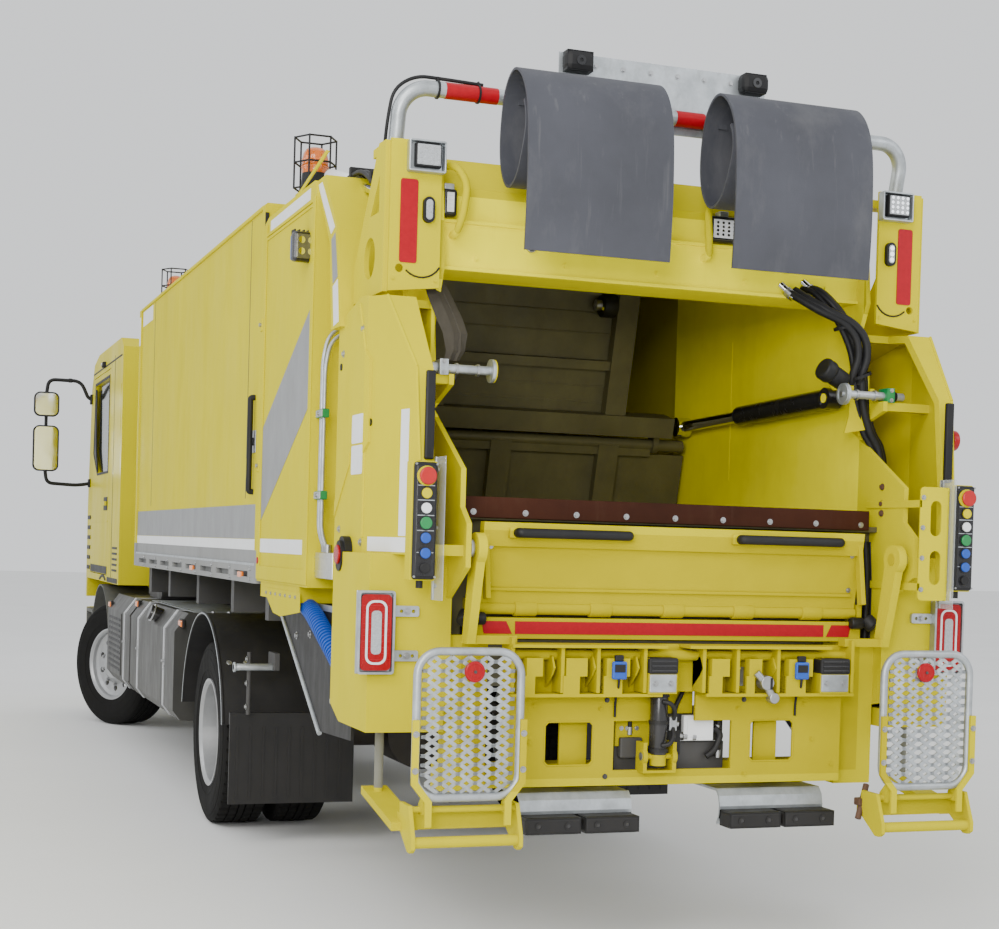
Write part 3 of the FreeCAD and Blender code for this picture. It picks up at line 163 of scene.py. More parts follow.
def finish_mat(name, col, rough=0.5, metal=0.0, vary=0.15, scale=3.0, dirt=None, dirt_amt=0.4, low_dirt=0.0,
               bump_s=0.0, bump_scale=60.0, bump_d=0.002, coat=0.0, zones=(), streak=0.0, spec=0.5):
    """Paint, plastic or metal: colour that varies, dirt in patches and streaks, more of it low down, fine relief."""
    m, nt, b = new_mat(name)
    n1 = noise_tex(nt, scale, 5, 0.6)
    base = mix(nt, ramp(nt, n1, 0.3, 0.7), tuple(c * (1 - vary) for c in col), tuple(min(1, c * (1 + vary * 0.6)) for c in col))
    for bx, zc in zones:
        f = inside(nt, bx)
        zz = mix(nt, ramp(nt, n1, 0.3, 0.7), tuple(c * 0.88 for c in zc), tuple(min(1, c * 1.05) for c in zc))
        base = mix(nt, f, base, zz)
    if dirt is None:
        dirt = (0.16, 0.13, 0.09)
    n2 = noise_tex(nt, scale * 2.3, 8, 0.7, (1.0, 1.0, 0.35))
    f = ramp(nt, n2, 0.52, 0.80, 0.0, dirt_amt)
    if streak:
        n3 = noise_tex(nt, 9.0, 4, 0.6, (4.0, 4.0, 0.22))
        f = math_node(nt, "MAXIMUM", f, ramp(nt, n3, 0.60, 0.85, 0.0, streak))
    if low_dirt:
        sep = N(nt, "ShaderNodeSeparateXYZ")
        L(nt, coords(nt), sep.inputs[0])
        lowf = ramp(nt, sep.outputs[2], 1.9, 0.4, 0.0, low_dirt)
        lowf = math_node(nt, "MULTIPLY", lowf, ramp(nt, n2, 0.25, 0.65, 0.35, 1.0))
        f = math_node(nt, "MAXIMUM", f, lowf)
    colr = mix(nt, f, base, dirt)
    L(nt, colr, b.inputs["Base Color"])
    r = ramp(nt, n2, 0.3, 0.8, max(0.03, rough - 0.08), min(1.0, rough + 0.18))
    L(nt, r, b.inputs["Roughness"])
    b.inputs["Metallic"].default_value = metal
    b.inputs["Specular IOR Level"].default_value = spec
    if coat:
        b.inputs["Coat Weight"].default_value = coat
        b.inputs["Coat Roughness"].default_value = 0.12
    if bump_s:
        bump(nt, b, noise_tex(nt, bump_scale, 3, 0.6), bump_s, bump_d)
    return m


YEL = (0.60, 0.52, 0.0)
WHITE = (0.78, 0.79, 0.80)
GREY = (0.22, 0.225, 0.23)
M = {}
# The first zone of this yellow is painted light: a brighter yellow (0.98, 0.86, 0.0) on the hopper's inner walls stands
# in for light that does not reach into the hopper.
M["yellow"] = finish_mat("yellow_paint", YEL, 0.42, 0, 0.05, 1.6, (0.22, 0.17, 0.02), 0.12, 0.22, 0.02, 300, 0.0006, 0.0, streak=0.08, spec=0.02,
                         zones=[(((-0.968, 0.968), (Y(0.52), Y(2.60)), (1.50, 2.96)), (0.98, 0.86, 0.0)),
                                # The second zone is painted shade: a darker yellow (0.48, 0.40, 0.0) on the bin lift
                                # and flap below the loading edge.
                                (((-0.865, 0.865), (Y(-0.15), Y(0.52)), (0.72, 1.66)), (0.48, 0.40, 0.0))])
M["cab"] = finish_mat("cab_paint", YEL, 0.34, 0, 0.05, 1.2, (0.24, 0.19, 0.03), 0.10, 0.22, 0.015, 300, 0.0005, 0.0, spec=0.06)
M["body"] = finish_mat("body_paint", YEL, 0.42, 0, 0.05, 1.6, (0.22, 0.17, 0.02), 0.12, 0.22, 0.02, 300, 0.0006, 0.0, streak=0.08, spec=0.02,
                       zones=[(((-1.30, -1.20), (-9.0, 9.0), (1.30, 1.545)), (0.27, 0.275, 0.28)),
                              (((1.20, 1.30), (-9.0, 9.0), (1.30, 1.545)), (0.27, 0.275, 0.28))])
M["wing"] = finish_mat("wing_plastic", (0.10, 0.105, 0.10), 0.6, 0, 0.2, 5, (0.14, 0.12, 0.09), 0.35, 0.4, 0.1, 200, 0.0008, spec=0.25)
M["dark"] = finish_mat("dark_frame_paint", (0.035, 0.035, 0.038), 0.55, 0, 0.25, 5, (0.09, 0.08, 0.06), 0.45, 0.4, 0.15, 120, 0.001)
M["tankgrey"] = finish_mat("tank_paint", (0.026, 0.026, 0.024), 0.45, 0, 0.2, 4, (0.06, 0.055, 0.042), 0.35, 0.35, 0.06, 150, 0.0008)
M["black"] = finish_mat("black_plastic", (0.011, 0.011, 0.012), 0.5, 0, 0.25, 6, (0.045, 0.04, 0.034), 0.35, 0.3, 0.2, 220, 0.0008, spec=0.28)
M["blackgloss"] = finish_mat("black_gloss", (0.012, 0.012, 0.014), 0.22, 0, 0.2, 6, (0.10, 0.09, 0.08), 0.2, 0.2)
M["rubber"] = finish_mat("rubber_sheet", (0.056, 0.058, 0.070), 0.6, 0, 0.20, 2.2, (0.14, 0.14, 0.145), 0.45, 0.0, 0.30, 140, 0.001, streak=0.50, spec=0.3)
M["tyre"] = finish_mat("tyre_rubber", (0.008, 0.008, 0.008), 0.8, 0, 0.25, 8, (0.03, 0.027, 0.023), 0.4, 0.2, 0.35, 160, 0.0012, spec=0.12)
M["galv"] = finish_mat("galvanised", (0.46, 0.49, 0.51), 0.42, 0.75, 0.22, 14, (0.20, 0.19, 0.17), 0.35, 0.25, 0.15, 90, 0.0006)
M["alu"] = finish_mat("aluminium", (0.62, 0.63, 0.65), 0.32, 0.9, 0.10, 20, (0.25, 0.24, 0.22), 0.2, 0.1, 0.08, 200, 0.0004)
M["steel"] = finish_mat("bare_steel", (0.42, 0.43, 0.44), 0.35, 0.9, 0.15, 20, (0.20, 0.15, 0.10), 0.35, 0.2, 0.12, 150, 0.0005)
M["chrome"] = finish_mat("chrome_rod", (0.80, 0.81, 0.82), 0.12, 1.0, 0.04, 20, (0.3, 0.3, 0.3), 0.1)
M["worn"] = finish_mat("worn_press", (0.100, 0.090, 0.034), 0.5, 0.1, 0.25, 4.5, (0.07, 0.058, 0.035), 0.45, 0.0, 0.35, 60, 0.0015, streak=0.4)
M["apron"] = finish_mat("apron_brown", (0.040, 0.012, 0.006), 0.55, 0, 0.3, 3, (0.075, 0.040, 0.025), 0.45, 0.1, 0.1, 150, 0.0006, streak=0.3, spec=0.10)
M["rim"] = finish_mat("rim_silver", (0.44, 0.45, 0.46), 0.38, 0.55, 0.10, 8, (0.14, 0.12, 0.10), 0.45, 0.25, 0.06, 200, 0.0004)
M["cast"] = finish_mat("cast_parts", (0.05, 0.048, 0.045), 0.7, 0.2, 0.3, 8, (0.14, 0.11, 0.08), 0.6, 0.4, 0.4, 90, 0.0015)
M["white"] = finish_mat("white_film", WHITE, 0.4, 0, 0.05, 5, (0.50, 0.48, 0.44), 0.20, 0.10)
M["greyfilm"] = finish_mat("grey_film", GREY, 0.45, 0, 0.08, 4, (0.20, 0.19, 0.16), 0.25, 0.1)
M["redfilm"] = finish_mat("red_reflective", (0.36, 0.0, 0.008), 0.4, 0, 0.10, 60, (0.30, 0.02, 0.02), 0.20, 0.0, 0.3, 400, 0.0004, spec=0.25)
M["redlamp"] = finish_mat("red_lens", (0.33, 0.0, 0.004), 0.2, 0, 0.15, 60, (0.25, 0.02, 0.02), 0.10, 0.0, 0.3, 260, 0.0008, spec=0.35)
M["amber"] = finish_mat("amber_lens", (0.62, 0.13, 0.0), 0.14, 0, 0.12, 30, (0.4, 0.2, 0.1), 0.1, 0.0, 0.2, 200, 0.0006, coat=0.6)
M["whitelens"] = finish_mat("clear_lens", (0.75, 0.77, 0.80), 0.12, 0, 0.08, 60, (0.4, 0.4, 0.4), 0.1, 0.0, 0.3, 250, 0.0006, coat=0.6)
M["blue"] = finish_mat("blue_plastic", (0.008, 0.07, 0.40), 0.35, 0, 0.10, 10, (0.1, 0.1, 0.15), 0.2, 0.0)
M["green"] = finish_mat("green_plastic", (0.005, 0.20, 0.05), 0.35, 0, 0.10, 10, (0.1, 0.12, 0.1), 0.2, 0.0)
M["red"] = finish_mat("red_plastic", (0.42, 0.004, 0.004), 0.35, 0, 0.10, 10, (0.15, 0.05, 0.05), 0.2, 0.0)
M["interior"] = finish_mat("cab_interior", (0.05, 0.05, 0.055), 0.7, 0, 0.2, 6, (0.1, 0.1, 0.1), 0.3, 0.0, 0.3, 200, 0.0008)
M["orange"] = finish_mat("orange_marker", (0.85, 0.20, 0.01), 0.2, 0, 0.1, 40, (0.3, 0.15, 0.1), 0.15, 0.0, coat=0.5)
M["darklens"] = finish_mat("smoked_lens", (0.10, 0.095, 0.05), 0.12, 0, 0.2, 40, (0.2, 0.2, 0.15), 0.2, 0.0, 0.3, 250, 0.0006, spec=0.6)
M["underrun"] = finish_mat("underrun_steel", (0.46, 0.49, 0.51), 0.42, 0.75, 0.22, 14, (0.20, 0.19, 0.17), 0.35, 0.10, 0.15, 90, 0.0006,
                           zones=[(((0.190, 0.660), (Y(0.160), Y(0.262)), (0.522, 0.5875)), (0.012, 0.012, 0.013)),
                                  (((-0.660, -0.190), (Y(0.160), Y(0.262)), (0.522, 0.5875)), (0.012, 0.012, 0.013))])
M["tubesteel"] = finish_mat("top_tube_steel", (0.46, 0.49, 0.51), 0.42, 0.75, 0.22, 14, (0.20, 0.19, 0.17), 0.35, 0.0, 0.15, 90, 0.0006,
                            zones=[(((-0.446, -0.327), (Y(0.515), Y(0.570)), (3.478, 3.570)), (0.012, 0.012, 0.013)),
                                   (((0.333, 0.448), (Y(0.515), Y(0.570)), (3.478, 3.570)), (0.012, 0.012, 0.013))])
M["ledlens"] = finish_mat("led_lens", (0.40, 0.42, 0.44), 0.2, 0, 0.25, 160, (0.15, 0.15, 0.16), 0.45, 0.0, 0.4, 300, 0.0008, spec=0.4)
M["feet"] = finish_mat("feet_paint", YEL, 0.42, 0, 0.06, 1.6, (0.20, 0.15, 0.02), 0.25, 0.30, 0.02, 300, 0.0006, 0.0, streak=0.12, spec=0.02,
                       zones=[(((-1.172, -1.128), (Y(0.438), Y(0.482)), (0.674, 0.92)), (0.20, 0.21, 0.20)),
                              (((1.128, 1.172), (Y(0.438), Y(0.482)), (0.674, 0.92)), (0.20, 0.21, 0.20))])
M["strap"] = finish_mat("hanging_strap", (0.055, 0.048, 0.036), 0.7, 0, 0.25, 8, (0.09, 0.08, 0.06), 0.4, 0.0, 0.3, 120, 0.001, spec=0.2)
M["brown"] = finish_mat("brown_roll", (0.095, 0.045, 0.024), 0.7, 0, 0.3, 12, (0.10, 0.07, 0.05), 0.5, 0.0, 0.3, 120, 0.001)


def glass_mat(name, col, alpha=1.0):
    m, nt, b = new_mat(name)
    n = noise_tex(nt, 5, 3)
    L(nt, mix(nt, ramp(nt, n, 0.3, 0.7), tuple(c * 0.9 for c in col), col), b.inputs["Base Color"])
    L(nt, ramp(nt, n, 0.3, 0.8, 0.03, 0.09), b.inputs["Roughness"])
    b.inputs["Transmission Weight"].default_value = 0.0
    b.inputs["Alpha"].default_value = alpha
    b.inputs["Specular IOR Level"].default_value = 0.7
    b.inputs["Coat Weight"].default_value = 0.5
    b.inputs["Coat Roughness"].default_value = 0.03
    return m


M["glass"] = glass_mat("tinted_glass", (0.03, 0.035, 0.04), 0.72)
M["clear"] = glass_mat("clear_guard", (0.62, 0.66, 0.72), 0.28)
m_, nt_, b_ = new_mat("mirror_glass")
L(nt_, mix(nt_, ramp(nt_, noise_tex(nt_, 3, 2), 0.3, 0.7), (0.72, 0.74, 0.76), (0.80, 0.82, 0.84)), b_.inputs["Base Color"])
L(nt_, ramp(nt_, noise_tex(nt_, 8, 3), 0.3, 0.8, 0.03, 0.10), b_.inputs["Roughness"])
b_.inputs["Metallic"].default_value = 1.0
M["mirror"] = m_

CADMAT = {"chassis_frame": "dark", "engine_block": "cast", "rear_axle": "cast", "front_axle": "cast", "load_body": "body",
          "hydraulic_tank": "dark", "left_tank_and_box": "tankgrey", "battery_box": "tankgrey", "silencer": "steel",
          "rear_mudguards": "black", "front_wings": "wing", "front_bumper": "cab", "front_beacon": "amber",
          "left_knuckle": "cast", "right_knuckle": "cast", "tie_rod": "cast", "cab_shell": "cab", "windscreen": "glass",
          "cab_interior": "interior", "mirrors": "black", "left_door": "cab", "left_door_glass": "glass",
          "right_door": "cab", "right_door_glass": "glass", "tailgate_left_side": "yellow", "tailgate_right_side": "yellow",
          "hopper_trough": "worn", "rear_frame": "yellow", "tailgate_top": "yellow", "lamp_plates": "yellow",
          "upper_lamps": "blackgloss", "top_tube": "tubesteel", "rubber_flaps": "rubber", "control_boxes": "yellow",
          "tail_lamps": "galv", "grab_handles": "galv", "splash_guards": "black", "underrun_guard": "underrun",
          "footboard_feet": "feet", "rear_beacon": "amber", "lift_barrels": "dark", "lift_rods": "chrome",
          "ejector_plate": "worn", "press_frame": "worn", "sweep_blade": "worn", "press_barrels": "blackgloss",
          "press_rods": "chrome", "hopper_flap": "yellow", "bin_lift": "yellow", "left_footboard": "galv",
          "right_footboard": "galv"}
for k in nodes:
    if k.endswith("_rims") or k.endswith("_rim"):
        CADMAT[k] = "rim"
    if k.endswith("_tyre") or k.endswith("_tyres"):
        CADMAT[k] = "tyre"


def put(node, mat):
    o = nodes[node]
    o.data.materials.clear()
    o.data.materials.append(mat)


for k in nodes:
    put(k, M[CADMAT[k]])


# ------------------------------------------------------------------ mesh helpers
class Piece:
    """Collects geometry for one visual piece; every part of it can have its own material."""

    def __init__(self, name, body, slot):
        self.name, self.body, self.slot = name, body, slot
        self.v, self.f, self.mi, self.sm = [], [], [], []
        self.mats = []

    def mat(self, key):
        if key not in self.mats:
            self.mats.append(key)
        return self.mats.index(key)

    def add(self, verts, faces, key, smooth=False):
        o = len(self.v)
        self.v += [tuple(p) for p in verts]
        k = self.mat(key)
        for f in faces:
            self.f.append([o + i for i in f])
            self.mi.append(k)
            self.sm.append(smooth)
        return self

    def box(self, x0, x1, y0, y1, z0, z1, key, bev=0.0, rot=None, c=None):
        x0, x1 = sorted((x0, x1)); y0, y1 = sorted((y0, y1)); z0, z1 = sorted((z0, z1))
        bm = bmesh.new()
        bmesh.ops.create_cube(bm, size=1.0)
        for v in bm.verts:
            v.co = Vector(((x0 + x1) / 2 + v.co.x * (x1 - x0), (y0 + y1) / 2 + v.co.y * (y1 - y0), (z0 + z1) / 2 + v.co.z * (z1 - z0)))
        if bev:
            b = min(bev, 0.45 * min(x1 - x0, y1 - y0, z1 - z0))
            bmesh.ops.bevel(bm, geom=list(bm.edges), offset=b, segments=2, profile=0.5, affect="EDGES")
        if rot is not None:
            cc = Vector(c) if c else Vector(((x0 + x1) / 2, (y0 + y1) / 2, (z0 + z1) / 2))
            bmesh.ops.rotate(bm, verts=bm.verts, cent=cc, matrix=rot)
        self.take(bm, key, False)
        return self

    def take(self, bm, key, smooth):
        bm.verts.ensure_lookup_table()
        self.add([v.co.copy() for v in bm.verts], [[v.index for v in f.verts] for f in bm.faces], key, smooth)
        bm.free()

    def cyl(self, p, q, r, key, n=20, r2=None, cap=True, bev=0.0):
        p, q = Vector(p), Vector(q)
        d = (q - p)
        ln = d.length
        d.normalize()
        a = d.orthogonal().normalized()
        b = d.cross(a)
        r2 = r if r2 is None else r2
        prof = [(0.0, r), (ln, r2)]
        if bev:
            prof = [(0.0, r - bev), (bev * 0.3, r - bev * 0.3), (bev, r), (ln - bev, r2), (ln - bev * 0.3, r2 - bev * 0.3), (ln, r2 - bev)]
        vs, fs = [], []
        for h, rr in prof:
            for i in range(n):
                t = 2 * math.pi * i / n
                vs.append(p + d * h + a * (rr * math.cos(t)) + b * (rr * math.sin(t)))
        k = len(prof)
        for j in range(k - 1):
            for i in range(n):
                fs.append([j * n + i, j * n + (i + 1) % n, (j + 1) * n + (i + 1) % n, (j + 1) * n + i])
        self.add(vs, fs, key, True)
        if cap:
            self.add(vs[:n], [list(range(n))[::-1]], key, False)
            self.add(vs[-n:], [list(range(n))], key, False)
        return self

    def ring(self, c, ax, r0, r1, w, key, n=32):
        """Flat washer of inner radius r0, outer r1 and thickness w along ax."""
        c, d = Vector(c), Vector(ax).normalized()
        a = d.orthogonal().normalized()
        b = d.cross(a)
        vs, fs = [], []
        for rr, h in ((r0, 0), (r1, 0), (r1, w), (r0, w)):
            for i in range(n):
                t = 2 * math.pi * i / n
                vs.append(c + d * h + a * (rr * math.cos(t)) + b * (rr * math.sin(t)))
        for j in range(4):
            for i in range(n):
                fs.append([j * n + i, j * n + (i + 1) % n, ((j + 1) % 4) * n + (i + 1) % n, ((j + 1) % 4) * n + i])
        self.add(vs, fs, key, False)
        return self

    def tube(self, pts, r, key, bend=0.03, n=12, caps=True, seg=6):
        """Round tube along a path whose corners are rounded."""
        P = [Vector(p) for p in pts]
        path = [P[0]]
        for i in range(1, len(P) - 1):
            a, b, c = P[i - 1], P[i], P[i + 1]
            u, w = (a - b), (c - b)
            k = min(bend, u.length * 0.49, w.length * 0.49)
            u.normalize(); w.normalize()
            s, e = b + u * k, b + w * k
            for t in range(seg + 1):
                t /= seg
                path.append(s * (1 - t) ** 2 + b * 2 * t * (1 - t) + e * t * t)
        path.append(P[-1])
        self.sweep(path, r, key, n, caps)
        return self

    def sweep(self, path, r, key, n=12, caps=True):
        T = []
        for i in range(len(path)):
            a = path[max(0, i - 1)]; b = path[min(len(path) - 1, i + 1)]
            T.append((b - a).normalized())
        u = T[0].orthogonal().normalized()
        vs, fs = [], []
        for i, p in enumerate(path):
            u = (u - T[i] * u.dot(T[i])).normalized()
            w = T[i].cross(u)
            rr = r[i] if isinstance(r, (list, tuple)) else r
            for k in range(n):
                t = 2 * math.pi * k / n
                vs.append(p + u * (rr * math.cos(t)) + w * (rr * math.sin(t)))
        for i in range(len(path) - 1):
            for k in range(n):
                fs.append([i * n + k, i * n + (k + 1) % n, (i + 1) * n + (k + 1) % n, (i + 1) * n + k])
        self.add(vs, fs, key, True)
        if caps:
            self.add(vs[:n], [list(range(n))[::-1]], key, False)
            self.add(vs[-n:], [list(range(n))], key, False)

    def plate(self, plane, outer, holes, lo, hi, key):
        """Plate with holes. plane 'xz' (lo..hi along y), 'yz' (along x), 'xy' (along z)."""
        def P(a, b, h):
            return Vector((a, h, b)) if plane == "xz" else Vector((h, a, b)) if plane == "yz" else Vector((a, b, h))
        loops = [outer] + list(holes)
        flat = [p for lp in loops for p in lp]
        tris = tessellate_polygon([[Vector((a, b, 0)) for a, b in lp] for lp in loops])
        n = len(flat)
        vs = [P(a, b, lo) for a, b in flat] + [P(a, b, hi) for a, b in flat]
        fs = [list(t) for t in tris] + [[i + n for i in t][::-1] for t in tris]
        k = 0
        for lp in loops:
            m = len(lp)
            for i in range(m):
                a, b = k + i, k + (i + 1) % m
                fs.append([a, b, b + n, a + n])
            k += m
        self.add(vs, fs, key, False)
        return self

    def bolt(self, p, ax, r=0.009, h=0.007, key="steel"):
        """Hexagon head on a washer."""
        p, d = Vector(p), Vector(ax).normalized()
        self.cyl(p, p + d * 0.002, r * 1.5, key, 14)
        self.cyl(p + d * 0.002, p + d * (0.002 + h), r, key, 6, r2=r * 0.96)
        return self

    def done(self, mirror=False):
        me = bpy.data.meshes.new(self.name)
        me.from_pydata(self.v, [], self.f)
        for k in self.mats:
            me.materials.append(M[k])
        me.polygons.foreach_set("material_index", self.mi)
        me.polygons.foreach_set("use_smooth", self.sm)
        me.update()
        bm = bmesh.new()
        bm.from_mesh(me)
        bmesh.ops.recalc_face_normals(bm, faces=bm.faces)
        bm.to_mesh(me)
        bm.free()
        o = bpy.data.objects.new(self.name, me)
        scene.collection.objects.link(o)
        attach(o, self.body)
        return o


def circle(cx, cy, r, n=20, ph=0.0):
    return [(cx + r * math.cos(ph + 2 * math.pi * i / n), cy + r * math.sin(ph + 2 * math.pi * i / n)) for i in range(n)]


def rrect(x0, x1, z0, z1, r, n=5):
    out = []
    for cx, cz, a0 in ((x1 - r, z1 - r, 0), (x0 + r, z1 - r, 90), (x0 + r, z0 + r, 180), (x1 - r, z0 + r, 270)):
        for i in range(n + 1):
            a = math.radians(a0 + 90 * i / n)
            out.append((cx + r * math.cos(a), cz + r * math.sin(a)))
    return out


def slot_hole(cx, cz, w, h, n=6):
    """Slot of width w (along first axis) and height h with round ends."""
    if w >= h:
        return rrect(cx - w / 2, cx + w / 2, cz - h / 2, cz + h / 2, h / 2 * 0.999, n)
    return rrect(cx - w / 2, cx + w / 2, cz - h / 2, cz + h / 2, w / 2 * 0.999, n)

# ------------------------------------------------------------------ rear: loading edge, flap, beam
T = "tailgate"
p = Piece("loading_strip", T, "worn_steel")
p.box(-0.880, 0.880, Y(0.342), Y(0.3615), 1.706, 1.786, "apron", 0.003)
for i in range(9):
    p.bolt((-0.84 + i * 0.21, Y(0.342), 1.728), (0, -1, 0), 0.008, 0.005, "steel")
p.done()

p = Piece("flap_grips", "hopper_flap", "rubber")
for x0, x1 in ((-0.700, -0.227), (0.236, 0.700)):
    p.tube([(x0 + 0.012, Y(0.262), 1.652), (x0 + 0.012, Y(0.235), 1.652), (x1 - 0.012, Y(0.235), 1.652), (x1 - 0.012, Y(0.262), 1.652)], 0.019, "black", 0.03, 14)
p.done()
p = Piece("flap_details", "hopper_flap", "yellow_paint")
for x in (-0.700, -0.227, 0.236, 0.700):
    p.box(x - 0.02, x + 0.02, Y(0.258), Y(0.290), 1.632, 1.672, "yellow", 0.004)
for sx in (-1, 1):
    p.box(sx * 0.795, sx * 0.815, Y(0.262), Y(0.300), 1.40, 1.68, "yellow", 0.003, Matrix.Rotation(math.radians(-9), 3, "X"))
    for z in (1.46, 1.60):
        p.bolt((sx * 0.78, Y(0.352 - 0.015 - (z - 1.385) * 0.155), z), (0, -1, -0.15), 0.007, 0.005, "steel")
p.box(-0.79, 0.79, Y(0.318), Y(0.326), 1.432, 1.444, "yellow", 0.002, Matrix.Rotation(math.radians(9), 3, "X"))
for x in (-0.62, -0.31, 0.0, 0.31, 0.62):
    p.cyl((x - 0.045, Y(0.352), 1.365), (x + 0.045, Y(0.352), 1.365), 0.031, "yellow", 18, bev=0.003)
p.done()

p = Piece("beam_red_strips", T, "lamp")
yb = Y(0.330)
p.plate("xz", [(-0.664, 1.268), (0.673, 1.268), (0.673, 1.316), (-0.664, 1.316)], [], yb - 0.0022, yb + 0.0005, "redfilm")
p.plate("xz", [(-0.800, 1.316), (-0.700, 1.316), (-0.676, 1.268), (-0.790, 1.268)], [], yb - 0.0022, yb + 0.0005, "redfilm")
p.plate("xz", [(0.800, 1.316), (0.710, 1.316), (0.686, 1.268), (0.790, 1.268)], [], yb - 0.0022, yb + 0.0005, "redfilm")
p.done()
p = Piece("beam_ends", T, "black_plastic")
for sx in (-1, 1):
    p.box(sx * 0.845, sx * 0.858, Y(0.345), Y(0.415), 1.255, 1.300, "black", 0.004)
p.done()

# ------------------------------------------------------------------ bin lift details
BL = "bin_lift"
p = Piece("lift_hooks", BL, "yellow_paint")


ZB = 1.118
# thin stops and stiffeners between the teeth
for x in (-0.560, -0.395, -0.215, 0.060, 0.215, 0.375, 0.600):
    p.plate("yz", [(Y(0.205), 1.192), (Y(0.180), 1.150), (Y(0.205), 1.120), (Y(0.2685), 1.070), (Y(0.2685), 1.192)], [], x, x + 0.008, "yellow")
for x, z in ((-0.300, 1.020), (-0.325, 0.985), (0.290, 1.020), (0.265, 0.985), (-0.300, 0.725), (0.300, 0.725), (-0.615, 0.86),
             (0.600, 0.86), (0.560, 1.00), (-0.600, 1.00), (-0.690, 1.10), (0.690, 1.10), (-0.690, 0.76), (0.690, 0.76)):
    p.bolt((x, Y(0.2695), z), (0, -1, 0), 0.007, 0.005, "dark" if x in (-0.300, 0.290) else "yellow")
# rolled rims round the two large windows
for x0, x1, z0, z1 in ((-0.553, -0.354, 0.770, 0.937), (0.320, 0.515, 0.775, 0.938)):
    k = 0.014
    lp = [(x0 + k, z0), (x1 - k, z0), (x1, z0 + k), (x1, z1 - k), (x1 - k, z1), (x0 + k, z1), (x0, z1 - k), (x0, z0 + k)]
    for i in range(8):
        a, c = lp[i - 1], lp[i]
        p.sweep([Vector((a[0], Y(0.271), a[1])), Vector((c[0], Y(0.271), c[1]))], 0.004, "yellow", 8)
# plain washers where the teeth's webs are welded
for x in (-0.637, -0.467, -0.297, 0.136, 0.288, 0.488):
    p.box(x - 0.030, x + 0.030, Y(0.2655), Y(0.2695), 1.060, 1.074, "yellow", 0.002)
p.done()
# rubber edges and round end rollers
p = Piece("beam_rollers", T, "rubber")
for sx in (-1, 1):
    p.cyl((sx * 0.790, Y(0.318), 1.326), (sx * 0.846, Y(0.318), 1.326), 0.024, "black", 26, bev=0.006)
    p.cyl((sx * 0.846, Y(0.318), 1.326), (sx * 0.856, Y(0.318), 1.326), 0.015, "steel", 6)
p.done()
p = Piece("lift_sensors", BL, "black_plastic")
for x in (-0.297, 0.488):
    p.box(x - 0.030, x + 0.030, Y(0.1600), Y(0.1755), 1.108, 1.176, "blue", 0.006)
    p.box(x - 0.022, x + 0.022, Y(0.1575), Y(0.161), 1.135, 1.165, "black", 0.002)
    p.box(x - 0.018, x + 0.018, Y(0.166), Y(0.182), 1.176, 1.200, "black", 0.004)
    p.tube([(x, Y(0.168), 1.110), (x, Y(0.172), 1.075), (x + 0.02, Y(0.235), 1.060), (x + 0.03, Y(0.266), 1.000), (x + 0.03, Y(0.266), 0.955)], 0.005, "black", 0.03, 8)
for x0, x1 in ((-0.173, -0.052), (0.573, 0.703)):
    p.box(x0 - 0.002, x1 + 0.002, Y(0.163), Y(0.238), 1.128, 1.1905, "black", 0.008)
    p.box(x0 + 0.004, x1 - 0.004, Y(0.166), Y(0.238), 1.058, 1.127, "galv", 0.004)
    for k in range(3):
        p.box(x0 + 0.008, x1 - 0.008, Y(0.1605), Y(0.165), 1.137 + k * 0.018, 1.145 + k * 0.018, "blackgloss", 0.002)
    for dx in (0.028, x1 - x0 - 0.028):
        p.bolt((x0 + dx, Y(0.166), 1.092), (0, -1, 0), 0.008, 0.005, "steel")
p.done()
p = Piece("lift_lever", BL, "worn_steel")
p.tube([(0.288, Y(0.172), 1.135), (0.325, Y(0.166), 1.095), (0.362, Y(0.166), 1.035)], 0.015, "steel", 0.03, 12)
p.cyl((0.330, Y(0.150), 1.095), (0.330, Y(0.200), 1.095), 0.028, "steel", 20, bev=0.003)
p.cyl((0.362, Y(0.150), 1.035), (0.362, Y(0.190), 1.035), 0.021, "steel", 18, bev=0.003)
p.cyl((0.345, Y(0.158), 1.070), (0.345, Y(0.158), 1.115), 0.010, "black", 14)
p.done()
p = Piece("lift_cylinder", BL, "black_plastic")
p.cyl((-0.095, Y(0.235), 0.812), (-0.095, Y(0.235), 1.052), 0.0345, "blackgloss", 24, bev=0.003)
for z in (0.822, 0.930, 1.036):
    p.ring((-0.095, Y(0.235), z), (0, 0, 1), 0.034, 0.039, 0.014, "black", 26)
p.cyl((-0.168, Y(0.235), 0.805), (-0.160, Y(0.235), 0.805), 0.017, "steel", 18, bev=0.002)
p.cyl((-0.030, Y(0.235), 0.805), (-0.022, Y(0.235), 0.805), 0.017, "steel", 18, bev=0.002)
for x in (-0.157, -0.033):
    p.cyl((x - 0.010, Y(0.235), 0.805), (x + 0.010, Y(0.235), 0.805), 0.031, "yellow", 24, bev=0.003)
p.tube([(-0.095, Y(0.200), 1.020), (-0.070, Y(0.182), 1.015), (-0.045, Y(0.192), 0.985), (-0.042, Y(0.215), 0.950)], 0.009, "black", 0.03, 10)
p.tube([(-0.095, Y(0.200), 0.850), (-0.070, Y(0.184), 0.855), (-0.048, Y(0.192), 0.885), (-0.044, Y(0.215), 0.915)], 0.009, "black", 0.03, 10)
p.box(-0.060, -0.028, Y(0.210), Y(0.236), 0.905, 0.960, "steel", 0.003)
p.cyl((-0.015, Y(0.232), 0.930), (-0.035, Y(0.232), 0.930), 0.011, "steel", 6)
p.done()
